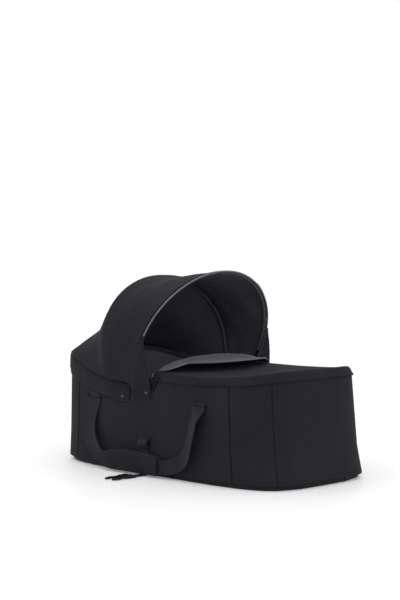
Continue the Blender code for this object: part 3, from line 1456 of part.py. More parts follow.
clear_scene()
PARTS = collection(PARTS_NAME)
CUTTERS = collection("cutters", hidden=True)
PANELS = panel_turns()
STATIONS = ring_turns(PANELS)
make_base_tray(STATIONS)
make_base_board(STATIONS)
make_cover(PANELS)
make_wall_layers(STATIONS)
make_top_edge(STATIONS)
make_mattress()
make_bows()
make_hood_hinges()
make_hood_canvas()
make_hood_corners()
make_hood_piping()
make_hood_band(PANELS)
make_press_studs()
make_apron(PANELS)
make_apron_flap()
make_zip(PANELS)
make_zip_sliders()
make_handles()
make_handle_anchors()
make_chassis_straps()
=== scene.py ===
# %% [markdown]
# # A carrycot with a folding hood
# The object is a soft-sided carrycot: woven cloth stretched over a stiff wall, a hood on two bows, a zipped
# apron over the foot half, and two carry handles that hang down to the floor. The CAD frame already gives every
# piece its place, so this lesson is about looks: what each cloth, webbing and moulding is, and how Blender shows it.

# %% Load the frame
import math

import bmesh
import bpy
from mathutils import Matrix, Vector, noise


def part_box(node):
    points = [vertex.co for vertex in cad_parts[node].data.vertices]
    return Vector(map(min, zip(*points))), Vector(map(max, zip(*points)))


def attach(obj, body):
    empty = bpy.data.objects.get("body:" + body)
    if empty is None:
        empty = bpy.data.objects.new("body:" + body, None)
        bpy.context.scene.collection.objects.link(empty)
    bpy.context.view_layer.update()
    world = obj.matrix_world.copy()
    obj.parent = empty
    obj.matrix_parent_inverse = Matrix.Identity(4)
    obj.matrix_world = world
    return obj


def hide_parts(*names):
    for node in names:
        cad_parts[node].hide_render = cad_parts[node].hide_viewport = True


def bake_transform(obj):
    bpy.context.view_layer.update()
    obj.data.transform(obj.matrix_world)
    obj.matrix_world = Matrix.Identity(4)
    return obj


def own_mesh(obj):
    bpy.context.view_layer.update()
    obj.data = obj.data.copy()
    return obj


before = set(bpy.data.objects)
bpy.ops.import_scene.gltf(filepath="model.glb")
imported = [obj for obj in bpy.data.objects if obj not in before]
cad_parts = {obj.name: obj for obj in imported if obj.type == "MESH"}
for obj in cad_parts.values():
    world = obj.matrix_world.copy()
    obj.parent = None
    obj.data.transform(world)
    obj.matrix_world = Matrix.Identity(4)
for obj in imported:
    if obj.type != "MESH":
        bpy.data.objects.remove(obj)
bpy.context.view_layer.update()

# %% [markdown]
# ## Camera
# The product is seen from its foot corner, almost level, through a long lens. A camera's axes are its right,
# its up and its back, so the three unit vectors are the columns of its matrix.

# %% Camera
def placed(name, data):
    """A new object at the scene's origin."""
    made = bpy.data.objects.new(name, data)
    bpy.context.scene.collection.objects.link(made)
    return made


YAW, PITCH = math.radians(45.9125), math.radians(2.7328)
camera = placed("camera", bpy.data.cameras.new("camera"))
camera.data.sensor_fit = "VERTICAL"
camera.data.sensor_height = 36.0
camera.data.lens = 91.8
camera.data.shift_x, camera.data.shift_y = 0.0010, -0.0037
look_back = Vector((math.sin(YAW) * math.cos(PITCH), -math.cos(YAW) * math.cos(PITCH), math.sin(PITCH)))
look_right = Vector((math.cos(YAW), math.sin(YAW), 0.0))
place = Matrix((look_right, look_back.cross(look_right), look_back)).transposed().to_4x4()
place.translation = Vector((2.83231, -2.78331, 0.63083))
camera.matrix_world = place
bpy.context.scene.camera = camera
print("camera at", [round(value, 3) for value in place.translation])

# %% [markdown]
# ## Helpers for every node tree
# Colours are written as the sRGB hex that a picture shows, and a shader wants linear light, so one function
# converts them. `feed` sets a node's sockets, or links them: a node stands for its first output. `node` adds any
# node, with its own settings as keywords.

# %% Helpers for node trees
def linear(hex_colour):
    """Linear light from an sRGB hex value."""
    parts = [int(hex_colour[i:i + 2], 16) / 255 for i in (1, 3, 5)]
    return (*(part / 12.92 if part <= 0.04045 else ((part + 0.055) / 1.055) ** 2.4 for part in parts), 1.0)


def feed(made, sockets):
    """Sets a node's sockets, or links them to a socket or to a node's first output."""
    for key, value in sockets.items():
        if isinstance(value, bpy.types.Node):
            value = value.outputs[0]
        if isinstance(value, bpy.types.NodeSocket):
            made.id_data.links.new(value, made.inputs[key])
        else:
            made.inputs[key].default_value = value


def node(tree, kind, sockets=None, **settings):
    """Adds a node to a tree, with its settings and sockets. A shader or math node goes by its short name."""
    made = tree.nodes.new(kind if kind.startswith(("Geometry", "Function", "NodeGroup")) else "ShaderNode" + kind)
    for name, value in settings.items():
        setattr(made, name, value)
    feed(made, sockets or {})
    return made


def empty_material(name):
    """A material with one principled shader, and its tree."""
    made = bpy.data.materials.new(name)
    made.use_nodes = True
    return made, made.node_tree, made.node_tree.nodes["Principled BSDF"]


# %% [markdown]
# ## Floor, background and light
# The floor is a polished white sheet: it keeps a soft shadow and a faint mirror image of the base. A camera ray
# sees it lifted to white by Light Path, so nothing has to be over-lit. Large soft lamps stand high on the left
# and in front, as in a studio, and the world fills the rest.

# %% Floor
WHITE, FLOOR_REACH, FLOOR_LIFT = (1.0, 1.0, 1.0, 1.0), 14, 0.17
floor_finish, tree, shader = empty_material("polished_white_floor")
path = node(tree, "LightPath").outputs
seen = node(tree, "Math", {0: path["Is Camera Ray"], 1: path["Is Glossy Ray"]}, operation="MAXIMUM")
lift_share = node(tree, "Math", {0: seen, 1: FLOOR_LIFT}, operation="MULTIPLY")
lift = node(tree, "Emission", {"Color": WHITE, "Strength": lift_share})
feed(shader, {"Base Color": linear("#F2F2F3"), "Roughness": 0.50, "Specular IOR Level": 0.4})
feed(tree.nodes["Material Output"], {"Surface": node(tree, "AddShader", {0: shader, 1: lift})})

floor_mesh = bpy.data.meshes.new("studio_floor")
floor_mesh.from_pydata([(x * FLOOR_REACH, y * FLOOR_REACH, 0) for x, y in ((-1, -1), (1, -1), (1, 1), (-1, 1))],
                       [], [(0, 1, 2, 3)])
floor_mesh.materials.append(floor_finish)
placed("studio_floor", floor_mesh)
print("floor:", 2 * FLOOR_REACH, "m square")

# %% World and lamps
world = bpy.data.worlds.new("studio")
bpy.context.scene.world = world
world.use_nodes = True
tree = world.node_tree
path = node(tree, "LightPath").outputs
glossy = node(tree, "Math", {0: path["Is Glossy Ray"], 1: path["Is Transmission Ray"]}, operation="MAXIMUM")
seen = node(tree, "Math", {0: path["Is Camera Ray"], 1: glossy}, operation="MAXIMUM")
strength = node(tree, "MapRange", {"Value": seen, "To Min": 0.90, "To Max": 1.0})
feed(tree.nodes["Background"], {"Color": WHITE, "Strength": strength})
bpy.context.scene.view_settings.view_transform = "Standard"

LAMPS = (("top_softbox", (-0.4, -0.5, 2.6), (0.0, 0.0, 0.2), 2.2, 9.0),
         ("front_softbox", (2.6, -1.2, 1.7), (0.2, 0.0, 0.2), 1.8, 13.5),
         ("near_softbox", (-0.1, -2.9, 1.5), (0.0, 0.0, 0.2), 1.8, 2.0))
for name, at, aim, size, watts in LAMPS:
    softbox = placed(name, bpy.data.lights.new(name, "AREA"))
    softbox.data.shape, softbox.data.size, softbox.data.energy = "SQUARE", size, watts
    softbox.location = at
    softbox.rotation_euler = (Vector(aim) - Vector(at)).to_track_quat("-Z", "Y").to_euler()
print("lamps:", len(LAMPS))

# %% [markdown]
# ## Cloth
# The cover is a tightly woven polyester canvas, yarn-dyed in two near-black tones, so it looks flat from afar and
# slightly heathered close up. A weave is two sets of parallel threads that pass over and under each other. Each
# piece carries a UV map in metres, as the flat cloth was cut, and the shader draws the threads in it: a sine for
# the round of each thread, and a checker that says which of the two sets is on top. The real threads are about
# 0.5 mm apart and are drawn a little coarser, so that they still show. Where a seam pulls the cloth in, the shade
# in its fold is painted: a piece may carry a second value, its seam_shade, that is 1 on the seam's line, and the
# colour is darkened there.

# %% Woven cloth
CUT, SEAM_SHADE = "cut", "seam_shade"


def woven_cloth(name, thread, gap, spacing, roughness, sheen, mottle=0.16, bump=0.35):
    """A plain weave: thread and gap colours, and the thread spacing in metres."""
    made, tree, shader = empty_material(name)
    cut = node(tree, "UVMap", uv_map=CUT)
    split = node(tree, "SeparateXYZ", {0: cut}).outputs
    checks = node(tree, "TexChecker", {"Vector": cut, "Scale": 1.0 / spacing}).outputs["Fac"]
    rounds, yarns = [], []
    for axis, thinner in (("X", (0.10, 0.9)), ("Y", (0.9, 0.10))):
        phase = node(tree, "Math", {0: split[axis], 1: math.pi / spacing}, operation="MULTIPLY")
        wave = node(tree, "Math", {0: phase}, operation="SINE")
        rounds.append(node(tree, "Math", {0: wave}, operation="ABSOLUTE"))
        drawn = node(tree, "Mapping", {"Vector": cut, "Scale": (thinner[0] / spacing, thinner[1] / spacing, 1.0)})
        yarns.append(node(tree, "TexNoise", {"Vector": drawn, "Scale": 1.0, "Detail": 1.0}).outputs["Fac"])
    height, yarn = (node(tree, "Mix", {0: checks, 2: first, 3: second}) for first, second in (rounds, yarns))
    here = node(tree, "TexCoord").outputs["Object"]
    cloud = node(tree, "TexNoise", {"Vector": here, "Scale": 7.0, "Detail": 3.0}).outputs["Fac"]
    # Painted shade: the colour is darkened down to 0.35 where the piece's seam shade value is 1, in seam folds and
    # along the band's edges.
    shade = node(tree, "MapRange", {"Value": node(tree, "Attribute", attribute_name=SEAM_SHADE).outputs["Fac"],
                                    "To Min": 1.0, "To Max": 0.35})
    for value, spread in ((cloud, mottle), (yarn, 0.28)):
        tone = node(tree, "MapRange", {"Value": value, "From Min": 0.3, "From Max": 0.7,
                                       "To Min": 1.0 - spread, "To Max": 1.0 + spread})
        shade = node(tree, "Math", {0: tone, 1: shade}, operation="MULTIPLY")
    base = node(tree, "Mix", {0: height, 6: linear(gap), 7: linear(thread)}, data_type="RGBA").outputs[2]
    rough = node(tree, "MapRange", {"Value": height, "To Min": min(roughness + 0.08, 1.0), "To Max": roughness})
    relief = node(tree, "Bump", {"Height": height, "Strength": bump, "Distance": spacing * 0.3})
    feed(shader, {"Base Color": node(tree, "VectorMath", {0: base, 3: shade}, operation="SCALE"), "Roughness": rough,
                  "Normal": relief, "Sheen Weight": sheen, "Sheen Roughness": 0.45, "Specular IOR Level": 0.16})
    return made


cover_canvas = woven_cloth("polyester_cover_canvas", "#222127", "#16141A", 0.0010, 0.86, 0.02)
hood_canvas = woven_cloth("polyester_hood_canvas", "#212028", "#15141A", 0.0009, 0.86, 0.02)
lining_cloth = woven_cloth("polyester_lining", "#4E4D54", "#3D3C43", 0.0008, 0.74, 0.05)
wall_cloth = woven_cloth("polyester_wall_lining", "#75747B", "#5E5D64", 0.0008, 0.74, 0.05)
satin_cloth = woven_cloth("satin_flap_facing", "#55545C", "#46454D", 0.0006, 0.40, 0.20, mottle=0.05, bump=0.15)
mattress_ticking = woven_cloth("cotton_mattress_ticking", "#8E8D92", "#77767B", 0.0011, 0.85, 0.10)
print("cloths:", [cloth.name for cloth in (cover_canvas, hood_canvas, lining_cloth, wall_cloth, satin_cloth)])

# %% [markdown]
# ## Webbing, tape and thread
# Webbing is woven narrow with thick cross ribs, and a turned selvedge at each edge. The ribs run across the
# strap, so they follow the V of its UV map. Thread is spun polyester, a little glossier than the cloth.

# %% Webbing and thread
def ribbed_webbing(name, ridge, valley, pitch, roughness):
    """Webbing whose ribs cross the strap every pitch metres along V."""
    made, tree, shader = empty_material(name)
    split = node(tree, "SeparateXYZ", {0: node(tree, "UVMap", uv_map=CUT)}).outputs
    waves = []
    for axis, period in (("Y", pitch), ("X", pitch * 0.45)):
        phase = node(tree, "Math", {0: split[axis], 1: math.tau / period}, operation="MULTIPLY")
        waves.append(node(tree, "Math", {0: phase}, operation="SINE"))
    rib = node(tree, "MapRange", {"Value": waves[0], "From Min": -1.0})
    height = node(tree, "Math", {0: waves[1], 1: 0.18, 2: rib}, operation="MULTIPLY_ADD")
    colour = node(tree, "Mix", {0: rib, 6: linear(valley), 7: linear(ridge)}, data_type="RGBA").outputs[2]
    relief = node(tree, "Bump", {"Height": height, "Strength": 0.6, "Distance": pitch * 0.2})
    feed(shader, {"Base Color": colour, "Normal": relief, "Roughness": roughness, "Sheen Weight": 0.03,
                  "Specular IOR Level": 0.2})
    return made


strap_webbing = ribbed_webbing("polyester_strap_webbing", "#232128", "#131117", 0.0022, 0.80)
zip_tape = ribbed_webbing("knitted_zip_tape", "#111013", "#0A090C", 0.0012, 0.84)
binding_tape = ribbed_webbing("grosgrain_binding_tape", "#4B4A51", "#38373D", 0.0014, 0.60)

thread_finish, tree, shader = empty_material("spun_polyester_thread")
here = node(tree, "TexCoord").outputs["Object"]
ply = node(tree, "TexWave", {"Vector": here, "Scale": 900.0, "Distortion": 2.0}).outputs["Fac"]
colour = node(tree, "Mix", {0: ply, 6: linear("#232227"), 7: linear("#34333A")}, data_type="RGBA").outputs[2]
feed(shader, {"Base Color": colour, "Roughness": 0.55})
print("narrow goods:", strap_webbing.name, zip_tape.name, binding_tape.name)

# %% [markdown]
# ## Hard finishes
# The base and clips are moulded polymer with a fine spark texture, so light breaks up on them. Studs, sliders
# and rivets are plated: metallic, dark, with the slight streaks of handling. The hoops are drawn steel tube.

# %% Mouldings and metals
def moulded_polymer(name, colour_hex, roughness, grain):
    """Polymer with a spark-eroded grain, whose size is in metres."""
    made, tree, shader = empty_material(name)
    here = node(tree, "TexCoord").outputs["Object"]
    pits = node(tree, "TexNoise", {"Vector": here, "Scale": 1.0 / grain, "Detail": 2.0}).outputs["Fac"]
    wear = node(tree, "TexNoise", {"Vector": here, "Scale": 14.0, "Detail": 4.0}).outputs["Fac"]
    rough = node(tree, "MapRange", {"Value": wear, "From Min": 0.3, "From Max": 0.7,
                                    "To Min": roughness - 0.06, "To Max": roughness + 0.08})
    tint = node(tree, "MapRange", {"Value": wear, "To Min": 0.85, "To Max": 1.15})
    feed(shader, {"Base Color": node(tree, "VectorMath", {0: linear(colour_hex)[:3], 3: tint}, operation="SCALE"),
                  "Normal": node(tree, "Bump", {"Height": pits, "Strength": 0.25, "Distance": grain * 0.3}),
                  "Roughness": rough, "Specular IOR Level": 0.28})
    return made


def plated_metal(name, colour_hex, roughness):
    """Plated metal with fine rubbing marks."""
    made, tree, shader = empty_material(name)
    here = node(tree, "TexCoord").outputs["Object"]
    rub = node(tree, "TexNoise", {"Vector": here, "Scale": 380.0, "Detail": 3.0}).outputs["Fac"]
    rough = node(tree, "MapRange", {"Value": rub, "To Min": roughness - 0.08, "To Max": roughness + 0.10})
    tint = node(tree, "MapRange", {"Value": rub, "To Min": 0.9, "To Max": 1.1})
    feed(shader, {"Base Color": node(tree, "VectorMath", {0: linear(colour_hex)[:3], 3: tint}, operation="SCALE"),
                  "Roughness": rough, "Metallic": 1.0})
    return made


base_polymer = moulded_polymer("black_polypropylene_moulding", "#0E0E10", 0.66, 0.0008)
clip_polymer = moulded_polymer("black_acetal_clip", "#0E0E10", 0.40, 0.0005)
board_polymer = moulded_polymer("grey_polypropylene_board", "#8A8A8C", 0.60, 0.0015)
wadding_fibre = moulded_polymer("white_polyester_wadding", "#DDDDDD", 0.90, 0.0040)
zip_teeth_polymer = moulded_polymer("black_zip_coil", "#0D0D0F", 0.42, 0.0003)
black_oxide = plated_metal("black_oxide_steel", "#2A2A2D", 0.46)
black_nickel = plated_metal("black_nickel_plated_brass", "#4A494D", 0.30)
bright_nickel = plated_metal("nickel_plated_zinc", "#77777B", 0.32)
hoop_steel = plated_metal("zinc_plated_steel_tube", "#A9AAAD", 0.34)
print("hard finishes ready")

# %% [markdown]
# ## The wall's rule
# Every level cut through the cover is a superellipse: an ellipse whose power is 4.3 instead of 2, which gives long
# straight sides and round corners. The wall leans in a little towards the rim, and the rim sweeps up at both ends.
# `wall_point` gives a point of the outer face for a turn round the cot and a height, moved out by an offset.

# %% Wall rule
HEM_HALF_LENGTH, HEM_HALF_WIDTH, CORNER_POWER = 0.410, 0.215, 4.3
HEM, KNEE, RIM_LOW, RIM_LOW_X = 0.012, 0.081, 0.242, 0.080
FOOT_LEAN, SIDE_LEAN = 0.030, 0.009
HEAD_SWEEP, FOOT_SWEEP, SWEEP_POWER = 0.048, 0.020, 2.6


def signed_power(value, power):
    return math.copysign(abs(value) ** power, value)


def rim_height(x):
    """Height of the top edge beside a place along the cot."""
    if x < RIM_LOW_X:
        return RIM_LOW + HEAD_SWEEP * ((RIM_LOW_X - x) / (HEM_HALF_LENGTH + RIM_LOW_X)) ** SWEEP_POWER
    return RIM_LOW + FOOT_SWEEP * ((x - RIM_LOW_X) / (HEM_HALF_LENGTH - FOOT_LEAN - RIM_LOW_X)) ** SWEEP_POWER


def half_sizes(z, toe):
    """Half the length and half the width at a height. Half of the lean is reached at the knee."""
    lean = 0.5 * max(z - HEM, 0.0) / (KNEE - HEM) if z < KNEE else 0.5 + 0.5 * (z - KNEE) / (RIM_LOW - KNEE)
    return HEM_HALF_LENGTH - (FOOT_LEAN * lean if toe else 0.0), HEM_HALF_WIDTH - SIDE_LEAN * lean


def wall_point(turn, z, offset=0.0):
    """Point of the cover's outer face at a turn (0 is the foot end) and a height, moved out by offset."""
    half_length, half_width = half_sizes(z, math.cos(turn) >= 0)
    across = signed_power(math.cos(turn), 2 / CORNER_POWER)
    side = signed_power(math.sin(turn), 2 / CORNER_POWER)
    normal = Vector((signed_power(across, CORNER_POWER - 1) / half_length,
                     signed_power(side, CORNER_POWER - 1) / half_width, 0.0)).normalized()
    return Vector((half_length * across, half_width * side, z)) + normal * offset


def rim_above(turn):
    """Height of the rim above a turn's wall station."""
    return rim_height(wall_point(turn, RIM_LOW).x)


print("rim height at head, middle, foot:", [round(rim_height(x), 3) for x in (-0.40, 0.08, 0.37)])

# %% Places and lengths along the wall
def side_y(x, z):
    """Half-width of the cover's outer face beside x."""
    half_length, half_width = half_sizes(z, x >= 0)
    return half_width * (1 - (abs(x) / half_length) ** CORNER_POWER) ** (1 / CORNER_POWER)


def turn_at_x(x):
    """Turn of the left-hand wall station at x."""
    quarter = math.acos((abs(x) / half_sizes(RIM_LOW, x >= 0)[0]) ** (CORNER_POWER / 2))
    return quarter if x >= 0 else math.pi - quarter


def turn_at_y(y):
    return math.copysign(math.asin((abs(y) / half_sizes(RIM_LOW, True)[1]) ** (CORNER_POWER / 2)), y)


def lengths_along(points):
    """Distance from the first point to each point."""
    found = [0.0]
    for before, after in zip(points, points[1:]):
        found.append(found[-1] + (after - before).length)
    return found


def even_turns(start, end, steps):
    """Turns from start to end whose points are evenly spaced along the rim."""
    fine = 30 * steps
    turns = [start + (end - start) * i / fine for i in range(fine + 1)]
    lengths = lengths_along([wall_point(turn, RIM_LOW) for turn in turns])
    found, at = [], 0
    for i in range(steps + 1):
        target = lengths[-1] * i / steps
        while at < fine - 1 and lengths[at + 1] < target:
            at += 1
        found.append(turns[at] + (turns[at + 1] - turns[at]) * (target - lengths[at]) / (lengths[at + 1] - lengths[at]))
    return found


print("half-width at the hem's middle:", round(side_y(0.0, HEM), 3))

# %% [markdown]
# ## Cutting and sewing
# Each cloth piece starts as rows of points, and `lay` makes faces through them. `sew` gives them a UV map that is
# the flat cloth in metres, measured along the rows and columns, and a thickness, and makes the modifiers part of
# the mesh. It also remembers the flat size. A narrow strip is cut 12 mm
# wide, with its edges turned under.

# %% Mesh helpers
def finished(piece):
    """Makes a piece's modifiers part of its mesh."""
    made = bpy.data.meshes.new_from_object(piece.evaluated_get(bpy.context.evaluated_depsgraph_get()))
    made.name = piece.name
    piece.modifiers.clear()
    piece.data = made
    return piece


def new_work():
    """An empty mesh to work on, with a UV map for the cut. Layers come first, before any point."""
    work = bmesh.new()
    work.loops.layers.uv.new(CUT)
    return work


def lay(work, rows, at=None, wrap=False, ring=False):
    """Faces through rows of points. Wrap joins each row's ends, ring the last row to the first; at gives the UV."""
    layer = work.loops.layers.uv[CUT]
    points = [[work.verts.new(point) for point in row] for row in rows]
    for i in range(len(rows) - 1 + ring):
        for j in range(len(rows[0]) - 1 + wrap):
            corners = ((i, j), (i, j + 1), (i + 1, j + 1), (i + 1, j))
            face = work.faces.new([points[r % len(rows)][c % len(rows[0])] for r, c in corners])
            for loop, (r, c) in zip(face.loops, corners if at else ()):
                loop[layer].uv = at(r, c)
    return points


def made_of(work, name, *cloths):
    """Turns the work into an object with its cloths."""
    mesh = bpy.data.meshes.new(name)
    work.to_mesh(mesh)
    work.free()
    for cloth in cloths:
        mesh.materials.append(cloth)
    mesh.shade_smooth()
    return placed(name, mesh)


def thicken(piece, thickness, inner, offset=-1.0, even=False):
    """Gives an open surface its thickness, with another cloth on the inner face."""
    piece.data.materials.append(inner)
    wall = piece.modifiers.new("thickness", "SOLIDIFY")
    wall.thickness, wall.offset, wall.use_even_offset, wall.material_offset = thickness, offset, even, 1
    finished(piece)
    piece.data.shade_smooth()


# %% Sewing helpers
FLAT = {}


def remember(name, width, length, area):
    """Keeps a cloth's flat size, whose area can't be more than its rectangle's."""
    FLAT[name] = (width, length, min(area, width * length))


def sew(name, rows, thickness, cloth, outward, inner=None, closed=False, smooth=0, offset=-1.0, turned=False, seam_shade=()):
    """A cloth piece through rows of points. Its drawn face looks along outward and carries cloth."""
    middle = lengths_along([row[len(row) // 2] for row in rows])
    spans = [lengths_along(row + [row[0]] if closed else row) for row in rows]
    work = new_work()
    # Each point may carry a painted seam shade value, which darkens the cloth's colour there.
    painted_seam_shade = work.verts.layers.float.new(SEAM_SHADE)
    way = -1 if turned else 1
    points = lay(work, rows, lambda r, c: (spans[r][c] - spans[r][-1] / 2, middle[r])[::way], closed)
    for row, values in zip(points, seam_shade):
        for vert, value in zip(row, values):
            vert[painted_seam_shade] = value
    score = 0.0
    for face in work.faces:
        face.normal_update()
        score += face.normal.dot(outward(face.calc_center_median())) * face.calc_area()
    if score < 0:
        bmesh.ops.reverse_faces(work, faces=work.faces)
    width = max(span[-1] for span in spans)
    length = max(lengths_along([row[j] for row in rows])[-1] for j in range(len(rows[0])))
    remember(name, width, length, sum(face.calc_area() for face in work.faces))
    piece = made_of(work, name, cloth)
    if smooth:
        finer = piece.modifiers.new("smooth", "SUBSURF")
        finer.levels = finer.render_levels = smooth
        finer.boundary_smooth = "PRESERVE_CORNERS"
    thicken(piece, thickness, inner or cloth, offset, even=True)
    return piece


def from_axis(centre):
    return Vector((centre.x, centre.y, 0.0))


def upward(centre):
    return Vector((0.0, 0.0, 1.0))


def dress(piece, body, slot, *nodes):
    """Gives a piece its body and hides the CAD nodes that it stands for. The slot is not used."""
    if body:
        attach(piece, body)
    if nodes:
        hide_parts(*nodes)


def declare(piece, body, nodes, slot):
    """Dresses a sewn piece."""
    dress(piece, body, slot, *nodes)


# %% [markdown]
# ## Outer cover
# Six panels are sewn into a sleeve and pulled over the wall board. At each vertical seam the cloth dips into a
# groove, with the doubled seam allowance standing up beside it. A panel here is rows from the hem to the rim,
# whose offset from the wall carries that relief and the slack of stretched cloth. It only goes inwards from the
# rule's face, so everything sewn on top keeps its seat.

# %% Cover panels
COVER_CLOTH, ROWS_UP = 0.0010, 44
SIDE_SEAM, FOOT_SEAM, HEAD_SEAM = turn_at_x(0.262), turn_at_y(0.147), turn_at_x(-0.300)
PANELS = {
    "right_side_cover": (-HEAD_SEAM, -SIDE_SEAM, 110),
    "right_foot_corner_cover": (-SIDE_SEAM, -FOOT_SEAM, 44),
    "foot_cover": (-FOOT_SEAM, FOOT_SEAM, 56),
    "left_foot_corner_cover": (FOOT_SEAM, SIDE_SEAM, 44),
    "left_side_cover": (SIDE_SEAM, HEAD_SEAM, 110),
    "head_cover": (HEAD_SEAM, 2 * math.pi - HEAD_SEAM, 100),
}


def bell(distance, width):
    """A bump beside a line: 1 on the line and near 0 from two widths away."""
    return math.exp(-((distance / width) ** 2))


def uneven(x, y, z):
    return noise.noise(Vector((x, y, z)))


def seam_pull(point):
    """The seams of the foot face are pressed flatter than those of the sides, more so near the hem."""
    return 1.0 if point.x < 0.30 else 0.35 + 0.25 * min(point.z / 0.25, 1.0)


def cover_relief(from_seam, point):
    """How far the cloth lies from the wall's face: a groove at the seam, its raised allowance, soft slack."""
    groove = 0.0013 * seam_pull(point) * bell(from_seam, 0.0020)
    allowance = 0.0006 / (1 + math.exp((from_seam - 0.008) / 0.0008))
    slack = 0.5 + 0.5 * uneven(point.x * 9, point.y * 9, point.z * 5)
    ripple = 0.5 + 0.5 * uneven(point.x * 34, point.y * 34, point.z * 7 + 4)
    crease = 0.0004 * bell(point.y + 0.035 + 0.06 * (point.z - 0.12), 0.0022) if point.x > 0.33 else 0.0
    return (-0.0004 + allowance - groove - crease - 0.0003 * slack
            - (0.00015 + 0.0003 * bell(point.z - HEM, 0.05)) * ripple)


for name, (start, end, steps) in PANELS.items():
    turns = even_turns(start, end, steps)
    run = lengths_along([wall_point(turn, RIM_LOW) for turn in turns])
    seam_turn = 0.0001 / run[1] * (turns[1] - turns[0])
    turns[0], turns[-1] = turns[0] + seam_turn, turns[-1] - seam_turn
    rows, seam_shade = [], []
    for i in range(ROWS_UP + 1):
        row, painted_seam_shade = [], []
        for turn, at in zip(turns, run):
            z = HEM + (rim_above(turn) - HEM) * i / ROWS_UP
            plain, from_seam = wall_point(turn, z), min(at, run[-1] - at)
            row.append(wall_point(turn, z, cover_relief(from_seam, plain)))
            # Painted shade in the seam's fold, deeper where the seam is pressed deeper.
            painted_seam_shade.append(seam_pull(plain) * bell(from_seam, 0.0026))
        rows.append(row)
        seam_shade.append(painted_seam_shade)
    panel = sew(name + "_cloth", rows, COVER_CLOTH, cover_canvas, from_axis, seam_shade=seam_shade)
    declare(panel, "shell", [name], "cover")
print("cover panels:", len(PANELS))

# %% [markdown]
# ## Rim and lining
# A steel hoop stiffens the top edge, and a grosgrain tape is folded over it to join the cover to the lining. The
# lining hangs down inside the wall to a floor cloth under the mattress.

# %% Binding and lining
AROUND = even_turns(-math.pi, math.pi, 220)[:-1]
LINING, LINING_LOW, FLOOR_Z = 0.0009, 0.0175, 0.0170
FLOOR_CUT = (0.767, 0.378)
TAPE_LINE = ((0.00285, -0.004), (0.0031, -0.0010), (0.0044, 0.0014), (0.0060, 0.0026), (0.0076, 0.0030),
             (0.0100, 0.0024), (0.0125, 0.0004), (0.0148, -0.0024), (0.0151, -0.0060), (0.0151, -0.0095))


def level_ring(inset, height_of):
    """Points round the whole wall, inset from its face, whose height follows the rim's."""
    return [wall_point(turn, height_of(rim_above(turn)), -inset) for turn in AROUND]


rows = [level_ring(inset, lambda rim, dz=dz: rim + dz) for inset, dz in TAPE_LINE]
binding = sew("rim_binding_tape", rows, 0.0007, binding_tape, upward, closed=True, smooth=1, offset=0.0, turned=True)
declare(binding, "shell", ["rim_binding"], "piping")

rows = [level_ring(0.0142 + 0.0004 * math.sin(share * math.pi),
                   lambda rim, share=share: LINING_LOW + (rim - 0.0035 - LINING_LOW) * share)
        for share in (0.0, 0.04, 0.10, 0.2, 0.35, 0.5, 0.65, 0.8, 0.92, 1.0)]
lining = sew("wall_lining", rows, LINING, wall_cloth, lambda centre: -from_axis(centre), closed=True)
declare(lining, "shell", ["lining"], "lining")

rim_of_floor = level_ring(0.0146, lambda rim: FLOOR_Z)
rows = [[Vector((point.x * scale, point.y * scale, FLOOR_Z)) for point in rim_of_floor]
        for scale in (0.02, 0.25, 0.5, 0.75, 0.9, 1.0)]
floor_cloth = sew("floor_lining", rows, LINING, wall_cloth, upward, closed=True)
remember("floor_lining", *FLOOR_CUT, FLAT["floor_lining"][2])
declare(floor_cloth, "shell", ["lining"], "lining")
print("lining and rim tape done")

# %% [markdown]
# ## Hood canopy
# This is the piece whose shape follows a rule, so Geometry Nodes draw it. A bow is an arch in a leaning plane: it
# rises as a power of the sine of a turn, and its half-width is a power of the cosine, a little bulged. A small
# group holds that rule. The canopy's tree makes a grid, sends each column to the same turn on both bows, and each
# row to a place between them, with a slight sag. The sizes are named inputs, so another bow is only other numbers.

# %% Helpers for geometry trees
def new_tree(name, inputs, **result):
    """A geometry tree whose inputs are numbers or kinds of socket, and the outputs of its input node."""
    tree = bpy.data.node_groups.new(name, "GeometryNodeTree")
    for label, value in inputs.items():
        kind = value if isinstance(value, str) else "Float"
        socket = tree.interface.new_socket(label, in_out="INPUT", socket_type="NodeSocket" + kind)
        if kind == "Float":
            socket.default_value = value
    for label, kind in result.items():
        tree.interface.new_socket(label, in_out="OUTPUT", socket_type="NodeSocket" + kind)
    return tree, tree.nodes.new("NodeGroupInput").outputs


def chain(tree, steps, known):
    """Adds a run of math nodes. A step is (result, operation, first, second), and names stand for earlier results."""
    for result, operation, *terms in steps:
        sockets = {i: known.get(term, term) for i, term in enumerate(terms)}
        known[result] = node(tree, "Math", sockets, operation=operation)
    return known


def grown(name, tree, values, mesh=None):
    """A plain mesh object from a geometry tree, with its named inputs set by their identifiers."""
    seed = placed(name, mesh or bpy.data.meshes.new(name))
    modifier = seed.modifiers.new("grow", "NODES")
    modifier.node_group = tree
    for item in tree.interface.items_tree:
        if item.in_out == "INPUT" and item.name in values:
            modifier[item.identifier] = values[item.name]
    return finished(seed)


# %% Arch rule as a node group
BOW_SIDE_POWER, BOW_TOP_POWER, BOW_BULGE = 2.064, 2.806, 0.267
FRONT = {"Foot X": -0.057, "Foot Z": 0.239, "Lean": math.radians(22.1), "Half Width": 0.2219, "Reach": 0.2963}
MID = {"Foot X": -0.1565, "Foot Z": 0.239, "Lean": math.radians(-8.0), "Half Width": 0.2189, "Reach": 0.2601}
BOWS = {"Front": FRONT, "Mid": MID}
ARCH_INPUTS = (*FRONT, "Forward", "Skirt")

